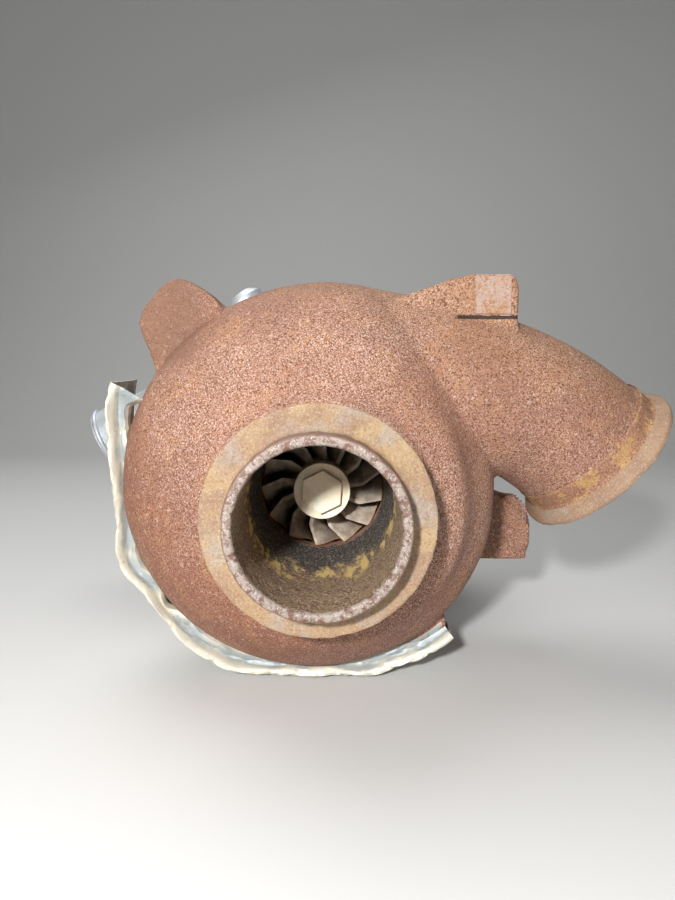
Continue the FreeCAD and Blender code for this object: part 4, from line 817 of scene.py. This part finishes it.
# ---- repeated bolts by geometry nodes ------------------------------------
def bolt_ring_tree(material):
    """Flange bolts on a pitch circle: hexagon head, washer face and shank."""
    tree = bpy.data.node_groups.new("bolt_ring", "GeometryNodeTree")
    ports = tree.interface
    for name, default in (("Pitch Radius", 0.0765), ("Head Flats", 0.012), ("Head Height", 0.006),
                          ("Shank Radius", 0.0039), ("Shank Length", 0.016), ("Side", 1.0),
                          ("First Angle", 0.0)):
        socket = ports.new_socket(name, in_out="INPUT", socket_type="NodeSocketFloat")
        socket.default_value = default
    count = ports.new_socket("Count", in_out="INPUT", socket_type="NodeSocketInt")
    count.default_value = 8
    ports.new_socket("Geometry", in_out="OUTPUT", socket_type="NodeSocketGeometry")
    nodes, links = tree.nodes, tree.links
    given = nodes.new("NodeGroupInput").outputs

    def maths(operation, first, second):
        node = nodes.new("ShaderNodeMath")
        node.operation = operation
        for socket, value in zip(node.inputs, (first, second)):
            if isinstance(value, bpy.types.NodeSocket):
                links.new(value, socket)
            else:
                socket.default_value = value
        return node.outputs[0]

    def drum(sides, radius, depth, lift):
        node = nodes.new("GeometryNodeMeshCylinder")
        node.inputs["Vertices"].default_value = sides
        links.new(radius, node.inputs["Radius"])
        links.new(depth, node.inputs["Depth"])
        place = nodes.new("GeometryNodeTransform")
        links.new(node.outputs["Mesh"], place.inputs["Geometry"])
        offset = nodes.new("ShaderNodeCombineXYZ")
        links.new(lift, offset.inputs["Z"])
        links.new(offset.outputs[0], place.inputs["Translation"])
        return place.outputs["Geometry"]

    head_r = maths("MULTIPLY", given["Head Flats"], 1 / math.sqrt(3))
    washer_r = maths("MULTIPLY", given["Head Flats"], 0.62)
    washer_t = maths("MULTIPLY", given["Head Height"], 0.25)
    top_t = maths("MULTIPLY", given["Head Height"], 0.66)
    cap_r = maths("MULTIPLY", given["Head Flats"], 0.44)
    cap_t = maths("MULTIPLY", given["Head Height"], 0.09)
    joined = nodes.new("GeometryNodeJoinGeometry")
    lifts = ((48, washer_r, washer_t, maths("MULTIPLY", washer_t, 0.5)),
             (6, head_r, top_t, maths("MULTIPLY", given["Head Height"], 0.58)),
             (36, cap_r, cap_t, maths("MULTIPLY", given["Head Height"], 0.955)),
             (32, given["Shank Radius"], given["Shank Length"],
              maths("MULTIPLY", given["Shank Length"], -0.5)))
    for sides, radius, depth, lift in lifts:
        links.new(drum(sides, radius, depth, lift), joined.inputs[0])

    ring = nodes.new("GeometryNodeMeshCircle")
    links.new(given["Count"], ring.inputs["Vertices"])
    links.new(given["Pitch Radius"], ring.inputs["Radius"])
    upright = nodes.new("GeometryNodeTransform")
    links.new(ring.outputs["Mesh"], upright.inputs["Geometry"])
    spin = nodes.new("ShaderNodeCombineXYZ")
    spin.inputs["X"].default_value = math.pi / 2
    links.new(maths("MULTIPLY", given["First Angle"], -1.0), spin.inputs["Y"])
    turn = nodes.new("FunctionNodeEulerToRotation")
    links.new(spin.outputs[0], turn.inputs[0])
    links.new(turn.outputs[0], upright.inputs["Rotation"])

    dots = nodes.new("GeometryNodeInstanceOnPoints")
    links.new(upright.outputs["Geometry"], dots.inputs["Points"])
    links.new(joined.outputs[0], dots.inputs["Instance"])
    aim = nodes.new("ShaderNodeCombineXYZ")
    links.new(maths("MULTIPLY", given["Side"], -math.pi / 2), aim.inputs["X"])
    aim_turn = nodes.new("FunctionNodeEulerToRotation")
    links.new(aim.outputs[0], aim_turn.inputs[0])
    links.new(aim_turn.outputs[0], dots.inputs["Rotation"])
    real = nodes.new("GeometryNodeRealizeInstances")
    links.new(dots.outputs[0], real.inputs[0])
    paint = nodes.new("GeometryNodeSetMaterial")
    paint.inputs["Material"].default_value = material
    links.new(real.outputs[0], paint.inputs["Geometry"])
    out = nodes.new("NodeGroupOutput")
    links.new(paint.outputs[0], out.inputs[0])
    return tree


def bolt_ring(name, node, material, seat_y, sizes):
    """One ring of bolts seated on the plane seat_y, standing for a CAD node."""
    tree = bolt_ring_tree(material)
    work = bpy.data.objects.new(name + "_work", bpy.data.meshes.new(name))
    bpy.context.scene.collection.objects.link(work)
    modifier = work.modifiers.new("bolts", "NODES")
    modifier.node_group = tree
    keys = {item.name: item.identifier for item in tree.interface.items_tree
            if item.item_type == "SOCKET" and item.in_out == "INPUT"}
    for label, value in sizes.items():
        modifier[keys[label]] = value
    mesh = settle(work)
    mesh.transform(Matrix.Translation((0, seat_y, 0)))
    shade(mesh, 0.5)
    return piece_from(name, mesh, "casing", [material], [node])


# ---- operators -----------------------------------------------------------
def scene_settings(context):
    """The casting, shield and stage settings."""
    return context.scene.turbo_casting, context.scene.turbo_shield, context.scene.turbo_stage


class TURBO_OT_casting(bpy.types.Operator):
    """Rounded rusted casting with its turned outlet end"""
    bl_idname = "turbo.casting"
    bl_label = "Cast housing"

    def execute(self, context):
        casting, _, _ = scene_settings(context)
        make_casting(casting)
        make_outlet_end(casting)
        make_inlet_end(casting)
        piece_from("milled_pad", make_pad(), "casing", [pad_skin(casting)])
        return {"FINISHED"}


class TURBO_OT_shield(bpy.types.Operator):
    """Creased sheet-metal heat shield and its screws"""
    bl_idname = "turbo.shield"
    bl_label = "Heat shield"

    def execute(self, context):
        _, shield, _ = scene_settings(context)
        make_shield(shield)
        dress("heat_shield_screws", steel_skin("shield_screw_skin", (0.35, 0.27, 0.21), 0.6, 0.8))
        return {"FINISHED"}


class TURBO_OT_rotor(bpy.types.Operator):
    """Finishes of the wheels, shaft and bearings"""
    bl_idname = "turbo.rotor"
    bl_label = "Rotor"

    def execute(self, context):
        dress("turbine_wheel_and_shaft", wheel_skin())
        dress("compressor_wheel", aluminium_skin("air_wheel_skin", (0.62, 0.63, 0.64), False))
        bright = steel_skin("turned_steel_skin", (0.50, 0.49, 0.47))
        for node in ("shaft_nut", "thrust_washer", "thrust_collar", "oil_flinger"):
            dress(node, bright)
        bronze = steel_skin("bronze_skin", (0.50, 0.33, 0.14), 0.32)
        for node in ("journal_bearing_turbine", "journal_bearing_compressor", "thrust_bearing"):
            dress(node, bronze)
        ring = steel_skin("ring_steel_skin", (0.24, 0.24, 0.25), 0.4)
        for node in ("turbine_seal_ring", "compressor_seal_ring", "bearing_snap_rings"):
            dress(node, ring)
        return {"FINISHED"}


class TURBO_OT_vane_drive(bpy.types.Operator):
    """Finishes of the vanes, rings, crank and piston"""
    bl_idname = "turbo.vane_drive"
    bl_label = "Vane drive"

    def execute(self, context):
        browned = heat_browned_skin("browned_steel_skin", (0.17, 0.13, 0.10), (0.30, 0.25, 0.21))
        names = ["nozzle_ring", "unison_ring", "vane_crank", "heat_shroud"]
        names += [name for name in frame["nodes"] if name.startswith("nozzle_vane")]
        for node in names:
            dress(node, browned)
        bright = steel_skin("piston_skin", (0.46, 0.45, 0.43), 0.3)
        dress("actuator_piston", bright)
        dress("actuator_caps", steel_skin("cap_skin", (0.42, 0.40, 0.37), 0.4, 0.35))
        dress("control_valve", aluminium_skin("valve_skin", (0.58, 0.62, 0.64)))
        return {"FINISHED"}


class TURBO_OT_casings(bpy.types.Operator):
    """Finishes of the bearing housing, seal plate and compressor housing"""
    bl_idname = "turbo.casings"
    bl_label = "Casings"

    def execute(self, context):
        dress("bearing_housing", grey_iron_skin())
        dress("compressor_housing", aluminium_skin("cast_aluminium_skin", (0.60, 0.64, 0.67)))
        dress("seal_plate", aluminium_skin("plate_skin", (0.55, 0.56, 0.57), False))
        dress("seal_plate_o_ring", rubber_skin())
        dress("oil_inlet_fitting", steel_skin("fitting_skin", (0.56, 0.52, 0.38), 0.35, 0.1))
        dress("compressor_clamp_plates", steel_skin("clamp_skin", (0.44, 0.42, 0.38), 0.4, 0.3))
        return {"FINISHED"}


class TURBO_OT_bolts(bpy.types.Operator):
    """Rings of bolts made with geometry nodes"""
    bl_idname = "turbo.bolts"
    bl_label = "Bolts"

    def execute(self, context):
        rusty = steel_skin("rusty_bolt_skin", (0.30, 0.22, 0.17), 0.6, 0.9)
        plated = steel_skin("plated_bolt_skin", (0.56, 0.55, 0.52), 0.35, 0.15)
        bolt_ring("housing_bolts", "turbine_housing_bolts", rusty, 0.133,
                  {"Count": 8, "First Angle": math.radians(148.5)})
        bolt_ring("clamp_bolts", "compressor_clamp_bolts", plated, 0.1835,
                  {"Count": 6, "First Angle": math.radians(30), "Pitch Radius": 0.080,
                   "Head Flats": 0.009, "Head Height": 0.0045, "Shank Radius": 0.0029,
                   "Shank Length": 0.0095, "Side": -1.0})
        bolt_ring("plate_bolts", "seal_plate_bolts", plated, 0.176,
                  {"Count": 4, "First Angle": math.radians(45), "Pitch Radius": 0.051,
                   "Head Flats": 0.009, "Head Height": 0.0045, "Shank Radius": 0.0029,
                   "Shank Length": 0.016, "Side": -1.0})
        return {"FINISHED"}


def area_light(name, place, aim, size, power):
    """A round soft light aimed at a point."""
    lamp = bpy.data.lights.new(name, "AREA")
    lamp.shape = "DISK"
    lamp.size = size
    lamp.energy = power
    holder = bpy.data.objects.new(name, lamp)
    holder.location = place
    holder.rotation_euler = (Vector(aim) - Vector(place)).to_track_quat("-Z", "Y").to_euler()
    bpy.context.scene.collection.objects.link(holder)


class TURBO_OT_stage(bpy.types.Operator):
    """Pale floor, soft light and the camera"""
    bl_idname = "turbo.stage"
    bl_label = "Stage"

    def execute(self, context):
        _, _, settings = scene_settings(context)
        mesh = bpy.data.meshes.new("pale_floor")
        shape = bmesh.new()
        run = [(-1.6, 0.0), (0.9, 0.0)]
        run += [(0.9 + 0.5 * math.sin(a), 0.5 - 0.5 * math.cos(a))
                for a in (math.pi / 2 * i / 16 for i in range(1, 17))]
        run.append((1.4, 2.4))
        rows = [[shape.verts.new((x, y, FLOOR_Z + z)) for x in (-2.6, 2.6)] for y, z in run]
        for near, far in zip(rows, rows[1:]):
            shape.faces.new((near[0], near[1], far[1], far[0]))
        shape.to_mesh(mesh)
        shape.free()
        shade(mesh, SMOOTH_ALL)
        floor = bpy.data.objects.new("pale_floor", mesh)
        context.scene.collection.objects.link(floor)
        bench = Bench("floor_skin")
        grain = bench.noise(90, 3.0)
        mesh.materials.append(bench.finish(
            bench.mix(bench.sum(grain, 0.1, "MULTIPLY"), tuple(settings.floor),
                      tuple(0.9 * c for c in settings.floor)), 0.8))

        area_light("key", (-0.160, -0.595, 0.270), (0.02, 0.05, 0.0), 0.062, settings.key_power)
        area_light("fill", (0.75, -0.60, 0.65), (0.0, 0.08, 0.0), 0.7, 0.8)
        area_light("top", (-0.30, 0.35, 0.95), (0.0, 0.08, 0.0), 0.9, 6.5)
        world = bpy.data.worlds.new("soft_room")
        world.use_nodes = True
        world.node_tree.nodes["Background"].inputs["Color"].default_value = (0.80, 0.82, 0.85, 1)
        world.node_tree.nodes["Background"].inputs["Strength"].default_value = 0.17
        context.scene.world = world
        context.scene.view_settings.view_transform = "Standard"

        eye = bpy.data.cameras.new("camera")
        eye.sensor_width = 36.0
        eye.lens = settings.lens
        eye.clip_start = 0.01
        holder = bpy.data.objects.new("camera", eye)
        holder.location = (0.008, -0.272, 0.067)
        holder.rotation_euler = (math.radians(90 - 7.6), 0.0, 0.0)
        context.scene.collection.objects.link(holder)
        context.scene.camera = holder
        return {"FINISHED"}


class TURBO_PT_panel(bpy.types.Panel):
    """Buttons for each group of pieces"""
    bl_idname = "TURBO_PT_panel"
    bl_label = "Turbocharger"
    bl_space_type = "VIEW_3D"
    bl_region_type = "UI"
    bl_category = "Turbocharger"

    def draw(self, context):
        column = self.layout.column()
        for operator in OPERATORS:
            column.operator(operator.bl_idname)
        for group in scene_settings(context):
            for name in group.bl_rna.properties.keys():
                if name not in {"rna_type", "name"}:
                    column.prop(group, name)


OPERATORS = (TURBO_OT_stage, TURBO_OT_casting, TURBO_OT_shield, TURBO_OT_rotor,
             TURBO_OT_vane_drive, TURBO_OT_casings, TURBO_OT_bolts)
CLASSES = (CastingSettings, ShieldSettings, StageSettings) + OPERATORS + (TURBO_PT_panel,)


def register():
    for item in CLASSES:
        bpy.utils.register_class(item)
    bpy.types.Scene.turbo_casting = PointerProperty(type=CastingSettings)
    bpy.types.Scene.turbo_shield = PointerProperty(type=ShieldSettings)
    bpy.types.Scene.turbo_stage = PointerProperty(type=StageSettings)


def unregister():
    del bpy.types.Scene.turbo_stage
    del bpy.types.Scene.turbo_shield
    del bpy.types.Scene.turbo_casting
    for item in reversed(CLASSES):
        bpy.utils.unregister_class(item)


def main():
    register()
    bpy.ops.turbo.stage()
    bpy.ops.turbo.casting()
    bpy.ops.turbo.shield()
    bpy.ops.turbo.rotor()
    bpy.ops.turbo.vane_drive()
    bpy.ops.turbo.casings()
    bpy.ops.turbo.bolts()


if __name__ == "__main__":
    main()
